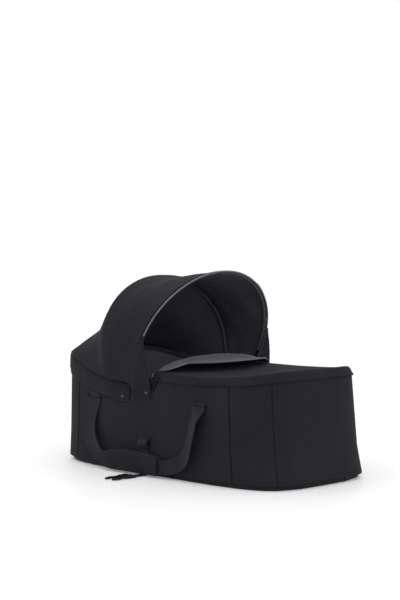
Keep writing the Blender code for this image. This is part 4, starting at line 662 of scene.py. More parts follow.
arch, given = new_tree("bow_arch", dict.fromkeys(("Turn", *ARCH_INPUTS), 0.0), Place="Vector")
known = chain(arch, (
    ("over", "MINIMUM", "Turn", math.pi),
    ("held", "MAXIMUM", "over", 0.0),
    ("past", "SUBTRACT", "Turn", "held"),
    ("past", "ABSOLUTE", "past"),
    ("drop", "MULTIPLY", "past", "Skirt"),
    ("sine", "SINE", "held"),
    ("sine", "ABSOLUTE", "sine"),
    ("share", "POWER", "sine", 2 / BOW_TOP_POWER),
    ("rise", "MULTIPLY", "share", "Reach"),
    ("up", "SUBTRACT", "rise", "drop"),
    ("cosine", "COSINE", "held"),
    ("side", "SIGN", "cosine"),
    ("cosine", "ABSOLUTE", "cosine"),
    ("across", "POWER", "cosine", 2 / BOW_SIDE_POWER),
    ("rest", "SUBTRACT", 1.0, "share"),
    ("bulge", "MULTIPLY", "share", "rest"),
    ("bulge", "MULTIPLY_ADD", "bulge", BOW_BULGE, 1.0),
    ("y", "MULTIPLY", "across", "bulge"),
    ("y", "MULTIPLY", "y", "Half Width"),
    ("y", "MULTIPLY", "y", "side"),
    ("y", "MULTIPLY", "y", -1.0),
    ("sin_lean", "SINE", "Lean"),
    ("cos_lean", "COSINE", "Lean"),
    ("x", "MULTIPLY_ADD", "up", "sin_lean", "Foot X"),
    ("x", "MULTIPLY_ADD", "Forward", "cos_lean", "x"),
    ("z", "MULTIPLY_ADD", "up", "cos_lean", "Foot Z"),
    ("back", "MULTIPLY", "Forward", -1.0),
    ("z", "MULTIPLY_ADD", "back", "sin_lean", "z"),
), {name: given[name] for name in ("Turn", *ARCH_INPUTS)})
node(arch, "NodeGroupOutput", {"Place": node(arch, "CombineXYZ", {i: known[axis] for i, axis in enumerate("xyz")})})
print("arch group:", len(arch.nodes), "nodes")

# %% Canopy tree
CANVAS, SKIRT_TURN, MID_SKIRT, TURN_EASE = 0.0016, 0.06, 0.0055, 0.35
CANVAS_CUT = (0.78, 0.26, 1.0)
sizes = {f"{word} {name}": bow.get(name, 0.0) for word, bow in BOWS.items() for name in ARCH_INPUTS}
canopy, given = new_tree("canopy", {**sizes, "Sag": 0.003, "Columns": 96.0, "Rows": 24.0, "Cloth": "Material"},
                         Geometry="Geometry")
grid = node(canopy, "GeometryNodeMeshGrid", {"Size X": 1.0, "Size Y": 1.0, "Vertices X": given["Columns"],
                                             "Vertices Y": given["Rows"]})
where = node(canopy, "SeparateXYZ", {0: node(canopy, "GeometryNodeInputPosition")}).outputs
known = chain(canopy, (
    ("u", "ADD", "gx", 0.5),
    ("v", "ADD", "gy", 0.5),
    ("wave", "MULTIPLY", "u", 4 * math.pi),
    ("wave", "SINE", "wave"),
    ("eased", "MULTIPLY_ADD", "wave", -TURN_EASE / (4 * math.pi), "u"),
    ("turn", "MULTIPLY_ADD", "eased", math.pi + 2 * SKIRT_TURN, -SKIRT_TURN),
    ("edge", "SUBTRACT", 1.0, "v"),
    ("arc", "SINE", "turn"),
    ("arc", "MAXIMUM", "arc", 0.0),
    ("sagged", "MULTIPLY", "v", "edge"),
    ("sagged", "MULTIPLY", "sagged", 4.0),
    ("sagged", "MULTIPLY", "sagged", "arc"),
    ("sagged", "MULTIPLY", "sagged", "Sag"),
), {"gx": where["X"], "gy": where["Y"], "Sag": given["Sag"]})
ends = []
for word in BOWS:
    ends.append(node(canopy, "GeometryNodeGroup", node_tree=arch))
    feed(ends[-1], {"Turn": known["turn"], **{name: given[f"{word} {name}"] for name in ARCH_INPUTS}})
between = node(canopy, "Mix", {0: known["v"], 4: ends[0], 5: ends[1]}, data_type="VECTOR").outputs[1]
outwards = node(canopy, "VectorMath", {0: between, 1: (MID["Foot X"], 0.0, MID["Foot Z"])}, operation="SUBTRACT")
unit = node(canopy, "VectorMath", {0: outwards}, operation="NORMALIZE")
inwards = node(canopy, "VectorMath", {0: unit, 3: known["sagged"]}, operation="SCALE")
settled = node(canopy, "VectorMath", {0: between, 1: inwards}, operation="SUBTRACT")
sheet = node(canopy, "GeometryNodeSetPosition", {"Geometry": grid, "Position": settled})
metres = node(canopy, "VectorMath", {0: grid.outputs["UV Map"], 1: CANVAS_CUT}, operation="MULTIPLY")
mapped = node(canopy, "GeometryNodeStoreNamedAttribute", {"Geometry": sheet, "Name": CUT, "Value": metres},
              data_type="FLOAT2", domain="CORNER")
realized = node(canopy, "GeometryNodeRealizeInstances", {0: mapped})
painted = node(canopy, "GeometryNodeSetMaterial", {"Geometry": realized, "Material": given["Cloth"]})
node(canopy, "NodeGroupOutput", {"Geometry": painted})
print("canopy tree:", len(canopy.nodes), "nodes")

# %% Canopy mesh
FRONT_CUT = (0.80, 0.285)


def clamp(value):
    return min(max(value, 0.0), 1.0)


def bow_place(bow, turn, inset=0.0, forward=0.0):
    """The same arch rule in Python, for the pieces that follow a bow."""
    rise = (bow["Reach"] - inset) * math.sin(turn) ** (2 / BOW_TOP_POWER)
    share = rise / (bow["Reach"] - inset)
    wide = signed_power(math.cos(turn), 2 / BOW_SIDE_POWER) * (1 + BOW_BULGE * share * (1 - share))
    sine, cosine = math.sin(bow["Lean"]), math.cos(bow["Lean"])
    return Vector((bow["Foot X"] + rise * sine + forward * cosine, -(bow["Half Width"] - inset) * wide,
                   bow["Foot Z"] + rise * cosine - forward * sine))


def from_hood(centre):
    return centre - Vector((MID["Foot X"], 0.0, MID["Foot Z"]))


def crumple(piece, reach, scale, seed, keep):
    """Moves points along their normals by smooth noise, less where keep is small."""
    moves = []
    for vertex in piece.data.vertices:
        value = uneven(vertex.co.x * scale, vertex.co.y * scale, vertex.co.z * scale + seed)
        moves.append(vertex.normal * value * reach * keep(vertex.co))
    for vertex, move in zip(piece.data.vertices, moves):
        vertex.co += move


def slack_on_the_left(point):
    """0 at the bows and the rim, 1 in the middle of the front panel, and up to 1.9 on its left side."""
    reach = from_hood(point).dot(Vector((math.cos(MID["Lean"]), 0.0, -math.sin(MID["Lean"]))))
    return clamp(reach / 0.03) * clamp((point.z - 0.24) / 0.05) * (1 + 0.9 * clamp(point.y / 0.12))


front_canopy = grown("hood_front_canvas", canopy, {
    "Front Forward": -0.003, "Front Skirt": 0.0095 / SKIRT_TURN,
    "Mid Forward": 0.0002, "Mid Skirt": MID_SKIRT / SKIRT_TURN,
    "Sag": 0.0075, "Columns": 150, "Rows": 34, "Cloth": hood_canvas,
})
faces = front_canopy.data.polygons
if sum(face.normal.dot(from_hood(face.center)) * face.area for face in faces) < 0:
    front_canopy.data.flip_normals()
crumple(front_canopy, 0.0045, 9.0, 2.0, slack_on_the_left)
crumple(front_canopy, 0.0016, 26.0, 8.0, slack_on_the_left)
remember("hood_front_canvas", *FRONT_CUT, sum(face.area for face in faces))
thicken(front_canopy, CANVAS, lining_cloth)
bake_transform(front_canopy)
declare(front_canopy, None, ["hood_front_panel"], "canvas")
print("front canopy:", len(front_canopy.data.polygons), "faces, cloth area", round(FLAT["hood_front_canvas"][2], 4))

# %% [markdown]
# ## Rear of the hood
# Behind the middle bow the canopy comes down to the band round the head end. Its upper edge follows the bow's
# rule and its lower edge the wall's, so rows between the two give the sheet. The same cloth, the same seam.

# %% Rear canopy
BAND_OUTER, BAND_END_X = 0.0022, -0.082
BOW_COLUMNS, REAR_ROWS, REAR_SLACK = 84, 30, 0.026


def band_top(x):
    return 0.2265 + 0.040 * (max(BAND_END_X - x, 0.0) / 0.226) ** 1.45


def eased_turns(steps):
    shares = [i / steps for i in range(steps + 1)]
    return [math.pi * (share - math.sin(4 * math.pi * share) / (4 * math.pi) * TURN_EASE) for share in shares]


def rear_point(high, low, front, turn, share):
    """A cubic from bow to band. At the sides it leaves the bow as the front panel reaches it; on top it sags."""
    flat = low - high
    side_on = 0.6 * abs(math.cos(turn)) ** 1.6 * min(flat.length / 0.06, 1.0)
    leave = ((high - front).normalized() * side_on + flat.normalized() * (1 - side_on)) * flat.length
    point = (high * (2 * share ** 3 - 3 * share ** 2 + 1) + leave * (share ** 3 - 2 * share ** 2 + share)
             + low * (3 * share ** 2 - 2 * share ** 3) + flat * (share ** 3 - share ** 2))
    near_bow = min(flat.length / 0.1, 1.0)
    slack = REAR_SLACK * math.sin(turn) ** 0.7 * math.sin(math.pi * share ** 0.95) * near_bow
    folds = uneven(point.x * 12, point.y * 12, point.z * 9 + 7) * 0.0045
    folds += uneven(point.x * 30, point.y * 30, point.z * 12 + 1) * 0.0014
    return point - from_hood(point).normalized() * (slack + folds * 4 * share * (1 - share) * near_bow)


bow_turns = eased_turns(BOW_COLUMNS)
upper = [bow_place(MID, turn, 0.0, -0.0002) for turn in bow_turns]
skirt_end = upper[0] - Vector((math.sin(MID["Lean"]), 0.0, math.cos(MID["Lean"]))) * MID_SKIRT
start, skirt_out = turn_at_x(skirt_end.x), abs(skirt_end.y) - side_y(skirt_end.x, RIM_LOW)
lower = []
for i, turn in enumerate(even_turns(2 * math.pi - start, start, BOW_COLUMNS + 2)[1:-1]):
    ease = min(min(i + 1, BOW_COLUMNS + 1 - i) / (5 * BOW_COLUMNS / 30), 1.0)
    outer = (1 - ease) * skirt_out + ease * BAND_OUTER
    lower.append(wall_point(turn, band_top(wall_point(turn, RIM_LOW).x) + 0.0010, outer))
stations = list(zip(upper, lower, [bow_place(FRONT, turn) for turn in bow_turns], bow_turns))
rows = [[rear_point(*station, k / REAR_ROWS) for station in stations] for k in range(REAR_ROWS + 1)]
rear_canopy = sew("hood_rear_canvas", rows, CANVAS, hood_canvas, from_hood, inner=lining_cloth)
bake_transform(rear_canopy)
declare(rear_canopy, None, ["hood_rear_panel"], "canvas")
print("rear canopy:", [round(value, 3) for value in FLAT["hood_rear_canvas"]])

# %% [markdown]
# ## Piping and bow channels
# The hood's front edge is finished with a reflective piping: a cord wrapped in a bias strip whose tiny glass beads
# send light back, so it looks light grey beside the cloth. Inside, each bow runs in a sewn channel of tape. Both
# are sweeps along a bow's line.

# %% Sweeps along a bow
def bow_line(bow, inset, forward, steps, low=0.0):
    places = [bow_place(bow, turn, inset, forward) for turn in eased_turns(steps)]
    return [point for point in places if point.z > bow["Foot Z"] + low - 1e-6]


def sweep(name, line, radius, count, cloth, body, slot, *nodes):
    """A round bar of count sides along a bow's line."""
    plane = (line[len(line) // 2] - line[0]).cross(line[-1] - line[0]).normalized()
    if plane.x < 0:
        plane = -plane
    rows = []
    for i, point in enumerate(line):
        along = (line[min(i + 1, len(line) - 1)] - line[max(i - 1, 0)]).normalized()
        outward = plane.cross(along).normalized()
        if outward.dot(from_hood(point)) < 0:
            outward = -outward
        rows.append([point + outward * (radius * math.cos(math.tau * k / count))
                     + plane * (radius * math.sin(math.tau * k / count)) for k in range(count)])
    work, runs = new_work(), lengths_along(line)
    points = lay(work, rows, lambda r, c: (c * 0.002, runs[r]), wrap=True)
    for cap in (points[0], points[-1]):
        work.faces.new(cap)
    bmesh.ops.recalc_face_normals(work, faces=work.faces)
    piece = made_of(work, name, cloth)
    piece.data.set_sharp_from_angle(angle=math.radians(50))
    dress(piece, body, slot, *nodes)


reflective, tree, shader = empty_material("reflective_bias_piping")
here = node(tree, "TexCoord").outputs["Object"]
beads = node(tree, "TexVoronoi", {"Vector": here, "Scale": 1500.0}).outputs["Distance"]
glint = node(tree, "Mix", {0: beads, 6: linear("#6F6E74"), 7: linear("#545359")}, data_type="RGBA").outputs[2]
feed(shader, {"Base Color": glint, "Roughness": 0.42, "Metallic": 0.25})

edge = bow_line(FRONT, 0.0022, 0.0, 120)
sweep("hood_edge_piping", edge, 0.0022, 12, reflective, "front_bow", "piping", "hood_piping")
for word, bow, forward, low in (("mid", MID, 0.0, 0.036), ("front", FRONT, -0.006, 0.046)):
    inside = bow_line(bow, 0.0072, forward, 90, low)
    sweep(f"{word}_bow_channel", inside, 0.0040, 14, lining_cloth, f"{word}_bow", "lining")
print("piping and channels done")

# %% [markdown]
# ## Band, tabs and gussets
# A doubled band hides the seam where the hood meets the cover. Its ends are rounded and closed with press studs.
# In front of each piping end a gusset joins the hood to the cot and runs down into a tab with a second stud.

# %% Hood band
BAND_HALF, BAND_END_POWER, BAND_END_STEPS, STUD_X = 0.025, 0.45, 11, -0.107
BAND_SHARES = (1.0, 0.97, 0.9, 0.8, 0.65, 0.5, 0.3, 0.1)
band_start = turn_at_x(BAND_END_X - BAND_HALF)
columns = [(turn, wall_point(turn, RIM_LOW).x, BAND_HALF)
           for turn in even_turns(band_start, 2 * math.pi - band_start, 150)]
for i in range(1, BAND_END_STEPS + 1):
    angle = math.pi / 2 * i / BAND_END_STEPS
    x = BAND_END_X - BAND_HALF + BAND_HALF * math.sin(angle)
    half = max(BAND_HALF * math.cos(angle) ** BAND_END_POWER, 0.0012)
    columns.insert(0, (turn_at_x(x), x, half))
    columns.append((2 * math.pi - turn_at_x(x), x, half))
rows, seam_shade = [], []
for share in [-part for part in BAND_SHARES] + list(BAND_SHARES[::-1]):
    row = []
    for turn, x, half in columns:
        z = band_top(x) - BAND_HALF + half * share
        swell = 0.0007 * (1 - abs(share) ** 4) * min(half / BAND_HALF * 2, 1.0)
        from_stud = clamp((STUD_X - 0.012 - x) / 0.03)
        fold = uneven(x * 9, turn * 1.5, z * 95) + 0.5 * uneven(x * 30, turn * 4, z * 60 + 9)
        soft = 0.0004 * fold + 0.0042 * from_stud * (1 - share ** 4) * (0.5 + 0.5 * fold)
        row.append(wall_point(turn, z, BAND_OUTER + swell + soft - 0.0004))
    rows.append(row)
    # Painted shade along the band's two long edges, where the doubled cloth turns under.
    seam_shade.append([bell((1 - abs(share)) * 25, 1.2)] * len(row))
band = sew("hood_band_cloth", rows, 0.0014, cover_canvas, from_axis, seam_shade=seam_shade)
declare(band, "shell", ["hood_band"], "cover")
print("hood band:", [round(value, 3) for value in FLAT["hood_band_cloth"]])

# %% Tabs and gussets
SIDES = (("right", -1), ("left", 1))
TAB_LOW, OVER_RIVET, TAB_CLOTH = 0.195, 0.2191, 0.0014
GUSSET_LOW, GUSSET_TOP = 0.236, 0.352
TAB_ROWS = (((-0.079, 0.2275), (-0.055, 0.2115), (-0.028, TAB_LOW), (-0.005, TAB_LOW)),
            ((-0.070, 0.2288), (-0.050, 0.2190), (-0.027, 0.2145), (0.000, 0.2145)))
GUSSET_SWELL = ((0.0, 0.0010), (0.16, 0.0021), (0.38, 0.0023), (0.60, 0.0012), (0.82, -0.0012), (1.0, -0.0030))


def piping_x(z):
    return FRONT["Foot X"] + (z - FRONT["Foot Z"]) * math.tan(FRONT["Lean"]) + 0.003


def front_half_width(z):
    rise = clamp((z - FRONT["Foot Z"]) / math.cos(FRONT["Lean"]) / FRONT["Reach"])
    across = (1 - rise ** BOW_TOP_POWER) ** (1 / BOW_SIDE_POWER) if rise < 1 else 0.0
    return FRONT["Half Width"] * across * (1 + BOW_BULGE * rise * (1 - rise))


gusset_rows, tab_points = [], []
for share in (0.0, 0.08, 0.22, 0.38, 0.55, 0.72, 0.88, 1.0):
    z = GUSSET_LOW * (1 - share) + GUSSET_TOP * share
    behind, ahead = piping_x(z) - 0.004 - 0.005 * (1 - share), max(0.0045 - 0.0140 * share, piping_x(z) + 0.0022)
    gusset_rows.append([(behind + (ahead - behind) * part, front_half_width(z) + out * (1 - 0.5 * share), z)
                        for part, out in GUSSET_SWELL])
for row in TAB_ROWS:
    first, second, third, last = [(x, side_y(x, TAB_LOW) + 0.0019 if i > 1 else OVER_RIVET, z)
                                  for i, (x, z) in enumerate(row)]
    bridge = [tuple(a + (b - a) * k for a, b in zip(second, third)) for k in (0.33, 0.66)]
    tab_points.append([first, second, *bridge, third, last])
for word, side in SIDES:
    for part, points, held, lies_on in (("tab", tab_points + gusset_rows[:1], "hung", f"{word}_side_cover"),
                                        ("gusset", gusset_rows, "stretched", f"{word}_hood_tab")):
        rows = [[Vector((x, side * y, z)) for x, y, z in row] for row in points]
        piece = sew(f"{word}_hood_{part}", rows, TAB_CLOTH, hood_canvas, from_axis, inner=lining_cloth, smooth=2)
        declare(piece, "shell", [f"{word}_hood_corner"], "canvas")
    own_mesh(piece)
print("band, tabs and gussets done")

# %% [markdown]
# ## Apron
# The apron zips onto the rim of the foot half. Its edge stands up in a rounded shoulder, because the zip pulls the
# cloth round a padded roll, and inside that it sags a little. Four curved edges bound the sagging field, so a
# Coons patch fills it: the sum of two ruled surfaces less the flat one through the corners.

# %% Apron shape
EDGE_X, LIP_LENGTH, SHOULDER, SHOULDER_IN, ON_RIM = 0.004, 0.050, 0.018, 0.012, 0.0012
FLAP_HALF_WIDTH, FOOT_COLUMNS = 0.189, 16
APRON_CUT = (0.43, 0.41)
HEM_COURSE = ((0.0, 0.0034, -0.0036), (0.05, 0.0036, -0.0010), (0.12, 0.0028, 0.0016), (0.20, 0.0008, 0.0050))


def eased(share):
    """A soft step from 0 to 1."""
    return share * share * (3 - 2 * share)


def apron_height(x, y):
    """Height of the apron's face inside its shoulder: a sag, and a lip that rises at its head end."""
    across = max(1 - (y / FLAP_HALF_WIDTH) ** 2, 0.0)
    along = clamp((0.370 - x) / 0.370)
    lip = max(1 - (x - EDGE_X) / LIP_LENGTH, 0.0) ** 2
    sag = 0.008 * across * min(2 * (1 - along), 1.0)
    return rim_height(x) + ON_RIM + SHOULDER - sag * (1 - lip) + 0.018 * lip * across


def shoulder_point(turn, share):
    angle, rim = math.pi / 2 * share, rim_above(turn)
    point = wall_point(turn, rim + ON_RIM, -0.0004 - SHOULDER_IN * (1 - math.cos(angle)))
    return Vector((point.x, point.y, rim + ON_RIM + SHOULDER * math.sin(angle)))


def covered_point(turn, share, out, rise):
    """The apron's hem laps over the zip, and draws back to the shoulder's own line near the slider."""
    lap = clamp((wall_point(turn, RIM_LOW).x - 0.022) / 0.030)
    return shoulder_point(turn, share).lerp(wall_point(turn, rim_above(turn) + rise, out), eased(lap))


def patch(low, high, start, end):
    """Coons patch: low and high run along the rows, start and end join their ends."""
    us, vs = ([value / run[-1] for value in run] for run in (lengths_along(low), lengths_along(start)))
    field = []
    for v, first, last in zip(vs, start, end):
        row = []
        for u, under, over in zip(us, low, high):
            ruled = under * (1 - v) + over * v + first * (1 - u) + last * u
            corners = (low[0] * (1 - u) + low[-1] * u) * (1 - v) + (high[0] * (1 - u) + high[-1] * u) * v
            row.append(ruled - corners)
        field.append(row)
    return field


def joined(parts, merge, at, loose=0.0):
    """Grids sewn together where they meet, with faces outwards. The UV is a function of the place."""
    work = new_work()
    for rows in parts:
        lay(work, rows)
    bmesh.ops.remove_doubles(work, verts=work.verts, dist=merge)
    if loose:
        bmesh.ops.dissolve_degenerate(work, edges=work.edges, dist=loose)
    bmesh.ops.recalc_face_normals(work, faces=work.faces)
    layer = work.loops.layers.uv[CUT]
    for face in work.faces:
        face.normal_update()
        for loop in face.loops:
            loop[layer].uv = at(loop.vert.co)
    return work


# %% Apron grids
lip_turns = [turn_at_x(EDGE_X + LIP_LENGTH * share) for share in (1.0, 0.85, 0.7, 0.55, 0.4, 0.25, 0.1, 0.0)]
left = even_turns(FOOT_SEAM, lip_turns[0], 52)[:-1] + lip_turns
apron_turns = [-turn for turn in left[::-1]] + even_turns(-FOOT_SEAM, FOOT_SEAM, FOOT_COLUMNS)[1:-1] + left
rings = [[covered_point(turn, *course) for turn in apron_turns] for course in HEM_COURSE]
rings += [[shoulder_point(turn, share) for turn in apron_turns] for share in (0.28, 0.4, 0.6, 0.8, 1.0)]
inner = rings[-1]
corner = (len(apron_turns) - 1 - FOOT_COLUMNS - 20) // 2
across = len(inner) - 2 * corner
field = patch([inner[0].lerp(inner[-1], i / (across - 1)) for i in range(across)],
              inner[corner:len(inner) - corner], inner[:corner + 1], inner[len(inner) - corner - 1:][::-1])
for row in field[:-1]:
    for point in row[1:-1]:
        point.z = apron_height(point.x, point.y)
print("apron grids:", len(rings), "by", len(apron_turns), "and", len(field), "by", across)

# %% Apron cloth
work = joined((rings, field), 0.00005, lambda place: (place.x + 0.3 * place.z, place.y))
if sum(face.normal.z for face in work.faces) < 0:
    bmesh.ops.reverse_faces(work, faces=work.faces)
remember("apron_cloth", *APRON_CUT, sum(face.calc_area() for face in work.faces))
apron = made_of(work, "apron_cloth", cover_canvas)
crumple(apron, 0.0016, 12.0, 5.0, lambda point: clamp((point.x - 0.09) / 0.05))
for vertex in apron.data.vertices:
    at = vertex.co
    near = clamp((-at.y - 0.12) / 0.05) * clamp((at.x - 0.03) / 0.05)
    ridge = uneven(at.x * 7, at.y * 48, at.z * 48) - 0.2
    vertex.co += vertex.normal * (0.0026 * near * min(ridge, 0.3))
thicken(apron, 0.0016, lining_cloth)
declare(apron, "shell", ["apron_top"], "cover")
print("apron cloth area:", round(FLAT["apron_cloth"][2], 4))

# %% [markdown]
# ## Folded flap
# The apron's head-end flap is turned back over it, so its satin side shows. It is a padded crescent with a soft
# roll along the fold, and its free edge stands a little off the apron.

# %% Flap
FLAP_WIDTH, FLAP_THICK, FLAP_LIFT, FLAP_ROLL = 0.085, 0.0030, 0.0215, 0.018
FLAP_HALF_COLUMNS, FLAP_ROWS = 28, 24
over, under = [], []
for m in range(2 * FLAP_HALF_COLUMNS + 1):
    v = math.sin(math.pi / 2 * (m - FLAP_HALF_COLUMNS) / FLAP_HALF_COLUMNS)
    room = 1 - v * v
    thick = FLAP_THICK * max(1 - v ** 6, 0.0) ** 0.5
    top, bottom = [], []
    for n in range(FLAP_ROWS + 1):
        u = (1 - math.cos(math.pi * n / FLAP_ROWS)) / 2
        x, y = EDGE_X + 0.0003 + FLAP_WIDTH * room ** 0.42 * u, FLAP_HALF_WIDTH * v
        gap = 0.0016 + FLAP_LIFT * u ** 0.75 * min(2.2 * room, 1.0) * (1 - 0.30 * max(v, 0.0) ** 2)
        height = apron_height(x, y) + gap
        roll = FLAP_ROLL * max(room, 0.0) ** 0.5 * (1 - u) ** 2
        edge = max(1 - (2 * u - 1) ** 8, 0.0) ** 0.5
        soft = 0.0012 * uneven(x * 25, y * 18, 3.0) * edge * room
        bead = 0.0016 * bell(u - 0.955, 0.025) * min(5.0 * room, 1.0)
        bottom.append(Vector((x, y, height)))
        top.append(Vector((x, y, height + (thick + roll + soft + bead) * edge)))
    over.append(top)
    under.append(bottom)
work = joined((over, under), 0.00003, lambda place: (place.x, place.y), loose=0.00001)
for face in work.faces:
    face.material_index = 1 if face.normal.z < -0.3 else 0
flap = made_of(work, "apron_flap_pad", satin_cloth, cover_canvas)
dress(flap, "apron_flap", "satin", "apron_flap")
print("flap:", len(flap.data.polygons), "faces")

# %% [markdown]
# ## Zip
# The zip runs along the rim under the apron's edge. Its tape is a narrow strip, and the teeth are one small shape
# that Geometry Nodes repeat along the strip's middle line: a mesh line becomes a curve, the curve gives evenly
# spaced points, and a tooth is placed on each.

# %% Tree that repeats a small shape along a line
row_tree, given = new_tree("row_along_line", {"Line": "Geometry", "Pitch": 0.004, "Length": 0.003, "Width": 0.0008,
                                              "Height": 0.0006, "Finish": "Material"}, Geometry="Geometry")
curve = node(row_tree, "GeometryNodeMeshToCurve", {0: given["Line"]})
spots = node(row_tree, "GeometryNodeCurveToPoints", {"Curve": curve, "Length": given["Pitch"]}, mode="LENGTH")
heading = node(row_tree, "FunctionNodeAlignRotationToVector", {"Vector": spots.outputs["Tangent"]}, axis="Z")
upright = node(row_tree, "FunctionNodeAlignRotationToVector", {"Rotation": heading, "Vector": (0.0, 0.0, 1.0)},
               axis="Y", pivot_axis="Z")
bead = node(row_tree, "GeometryNodeMeshUVSphere", {"Segments": 6, "Rings": 4, "Radius": 0.5})
size = node(row_tree, "CombineXYZ", {0: given["Width"], 1: given["Height"], 2: given["Length"]})
copies = node(row_tree, "GeometryNodeInstanceOnPoints", {"Points": spots.outputs["Points"], "Instance": bead,
                                                        "Rotation": upright, "Scale": size})
real = node(row_tree, "GeometryNodeRealizeInstances", {0: copies})
rounded = node(row_tree, "GeometryNodeSetShadeSmooth", {0: real})
painted = node(row_tree, "GeometryNodeSetMaterial", {"Geometry": rounded, "Material": given["Finish"]})
node(row_tree, "NodeGroupOutput", {"Geometry": painted})


def repeat_along(name, lines, slot, finish, *nodes, **sizes):
    """One object on the shell, with a small shape repeated along each line of points. Gives its number of faces."""
    mesh = bpy.data.meshes.new(name)
    points, edges = [], []
    for line in lines:
        edges += [(len(points) + i, len(points) + i + 1) for i in range(len(line) - 1)]
        points += [tuple(point) for point in line]
    mesh.from_pydata(points, edges, [])
    piece = grown(name, row_tree, {**sizes, "Finish": finish}, mesh)
    dress(piece, "shell", slot, *nodes)
    return len(piece.data.polygons)


print("row tree:", len(row_tree.nodes), "nodes")

# %% Zip along the rim
ZIP_HALF, ZIP_IN, ZIP_X = 0.0028, 0.0006, 0.0062
TAPE_ARCH = ((0.0, 0.0006), (0.2, 0.0010), (0.5, 0.0011), (0.8, 0.0010), (1.0, 0.0006))

rows = []
for share, out in TAPE_ARCH:
    row = []
    for turn in apron_turns:
        if wall_point(turn, RIM_LOW).x > ZIP_X + 2 * ZIP_HALF:
            edges = [wall_point(turn, rim_above(turn) + half, ZIP_IN + out) for half in (ZIP_HALF, -ZIP_HALF)]
            row.append(edges[0].lerp(edges[1], share))
    rows.append(row)
tape = sew("zip_tape", rows, 0.0007, zip_tape, from_axis)
declare(tape, "shell", ["zip_chain"], "moulding")
tooth_lines = [rows[2]]
print("zip strip:", round(FLAT["zip_tape"][0], 3), "m")

# %% Open ends of the zip
TAIL_LOW, TAIL_TOP, WEDGE_TOP = 0.213, 0.262, 0.250
TAIL_STEPS, WEDGE = 24, 0.021


def wedge_width(z):
    """The two tapes part towards the top, and only the slider's one goes on above the rim. One dark sheet spans both
    tapes and the open V between them as painted shade.
    """
    if z > WEDGE_TOP:
        return 2 * ZIP_HALF + WEDGE * max(1 - (z - WEDGE_TOP) / 0.005, 0.0)
    return 2 * ZIP_HALF + WEDGE * ((z - TAIL_LOW) / (WEDGE_TOP - TAIL_LOW)) ** 1.3


def tail_point(side, x, z, out):
    return wall_point(side * turn_at_x(x), z, ZIP_IN + out)


heights = [TAIL_LOW + (TAIL_TOP - TAIL_LOW) * i / TAIL_STEPS for i in range(TAIL_STEPS + 1)]
for word, side in SIDES:
    # One sheet of zip tape also fills the open V between the parted tapes: painted shade of the gap, not tape.
    rows = [[tail_point(side, ZIP_X - ZIP_HALF + wedge_width(z) * share, z, 0.0018 + 0.0004 * math.sin(math.pi * share))
             for z in heights] for share in (0.0, 0.12, 0.25, 0.5, 0.75, 0.9, 1.0)]
    tail = sew(f"{word}_zip_tail_and_gap_shade", rows, 0.0007, zip_tape, from_axis)
    declare(tail, "shell", ["zip_chain"], "moulding")
    tooth_lines.append([tail_point(side, ZIP_X, z, 0.0024) for z in heights])
    tooth_lines.append([tail_point(side, ZIP_X - ZIP_HALF + wedge_width(z) - 0.0014, z, 0.0021)
                        for z in heights if z < WEDGE_TOP - 0.001])
faces = repeat_along("zip_teeth", tooth_lines, "moulding", zip_teeth_polymer, "zip_chain",
                     Pitch=0.0017, Length=0.0011, Width=0.0010, Height=0.0034)
print("zip teeth:", faces, "faces")

# %% [markdown]
# ## Carry handles
# Each handle is one long strap of doubled webbing, sewn into the side at both ends. It hangs in a U to the floor,
# where a padded sleeve is wrapped round the grip. A hanging strap curls: its long edges lean out of the wall's
# plane, one more than the other, which is what gives it a light edge and a dark one.

# %% Route of the handle straps
STRAP, STRAP_STAND = 0.0030, 0.0020
HEAD_END, FOOT_END = (-0.2295, 0.180, 0.066), (0.173, 0.189, 0.043)
GRIP_X, GRIP_Z, GRIP_WIDTH = (-0.150, 0.048), 0.0300, 0.036
SPAN = FOOT_END[0] - HEAD_END[0]
HEAD_LEG = ((0.0, 1.0, 0.0, 1.00), (-0.018, 0.80, 0.15, 0.94), (-0.005, 0.58, 0.4, 0.80), (0.050, 0.38, 0.8, 0.66),
            (0.120, 0.23, 1.0, 0.58))
FOOT_LEG = ((-0.130, 0.24, 1.0, 0.90), (-0.065, 0.38, 0.9, 1.0), (-0.042, 0.58, 0.7, 1.0), (-0.022, 0.80, 0.35, 1.0),
            (0.0, 1.0, 0.0, 1.0))
head_leg, foot_leg = ([(end[0] + along * SPAN, high * end[1], stand, wide * end[2]) for along, high, stand, wide in leg]
                      for end, leg in ((HEAD_END, HEAD_LEG), (FOOT_END, FOOT_LEG)))
grip_run = [((GRIP_X[0] * (3 - i) + GRIP_X[1] * i) / 3, GRIP_Z, 1.0, GRIP_WIDTH) for i in range(4)]
turn_up = (FOOT_END[0] - 0.235 * SPAN, 1.02 * GRIP_Z, 1.0, GRIP_WIDTH)
strap_route = [*head_leg, *grip_run, turn_up, *foot_leg]


def smooth_route(route, steps):
    """Catmull-Rom curve through rows of values."""
    found, last = [], len(route) - 1
    for i in range(last):
        before, after = route[max(i - 1, 0)], route[min(i + 2, last)]
        for k in range(steps):
            t = k / steps
            found.append(tuple(
                0.5 * (2 * b + (c - a) * t + (2 * a - 5 * b + 4 * c - d) * t * t + (3 * b - a - 3 * c + d) * t ** 3)
                for a, b, c, d in zip(before, route[i], route[i + 1], after)))
    return found + [tuple(route[-1])]


def strap_centre(x, z, stand, side):
    rest = STRAP / 2 + STRAP_STAND
    share = clamp((FOOT_END[0] - x) / SPAN)
    return Vector((x, side * (side_y(x, z) + rest + stand * (0.0135 - rest) + 0.008 * stand * share ** 2), z))


def strap_frames(side):
    """Centres of the strap, the direction across it, its width and stand, from its head end to its foot end."""
    values = smooth_route(strap_route, 8)
    centres = [strap_centre(x, z, stand, side) for x, z, stand, _ in values]
    frames = []
    for i, (centre, (_, _, stand, width)) in enumerate(zip(centres, values)):
        along = centres[min(i + 1, len(centres) - 1)] - centres[max(i - 1, 0)]
        if i in (0, len(centres) - 1):
            along.x = 0.0
        along = Vector((along.x, 0.0, along.z)).normalized()
        frames.append((centre, Vector((along.z, 0.0, -along.x)), width, stand))
    return frames


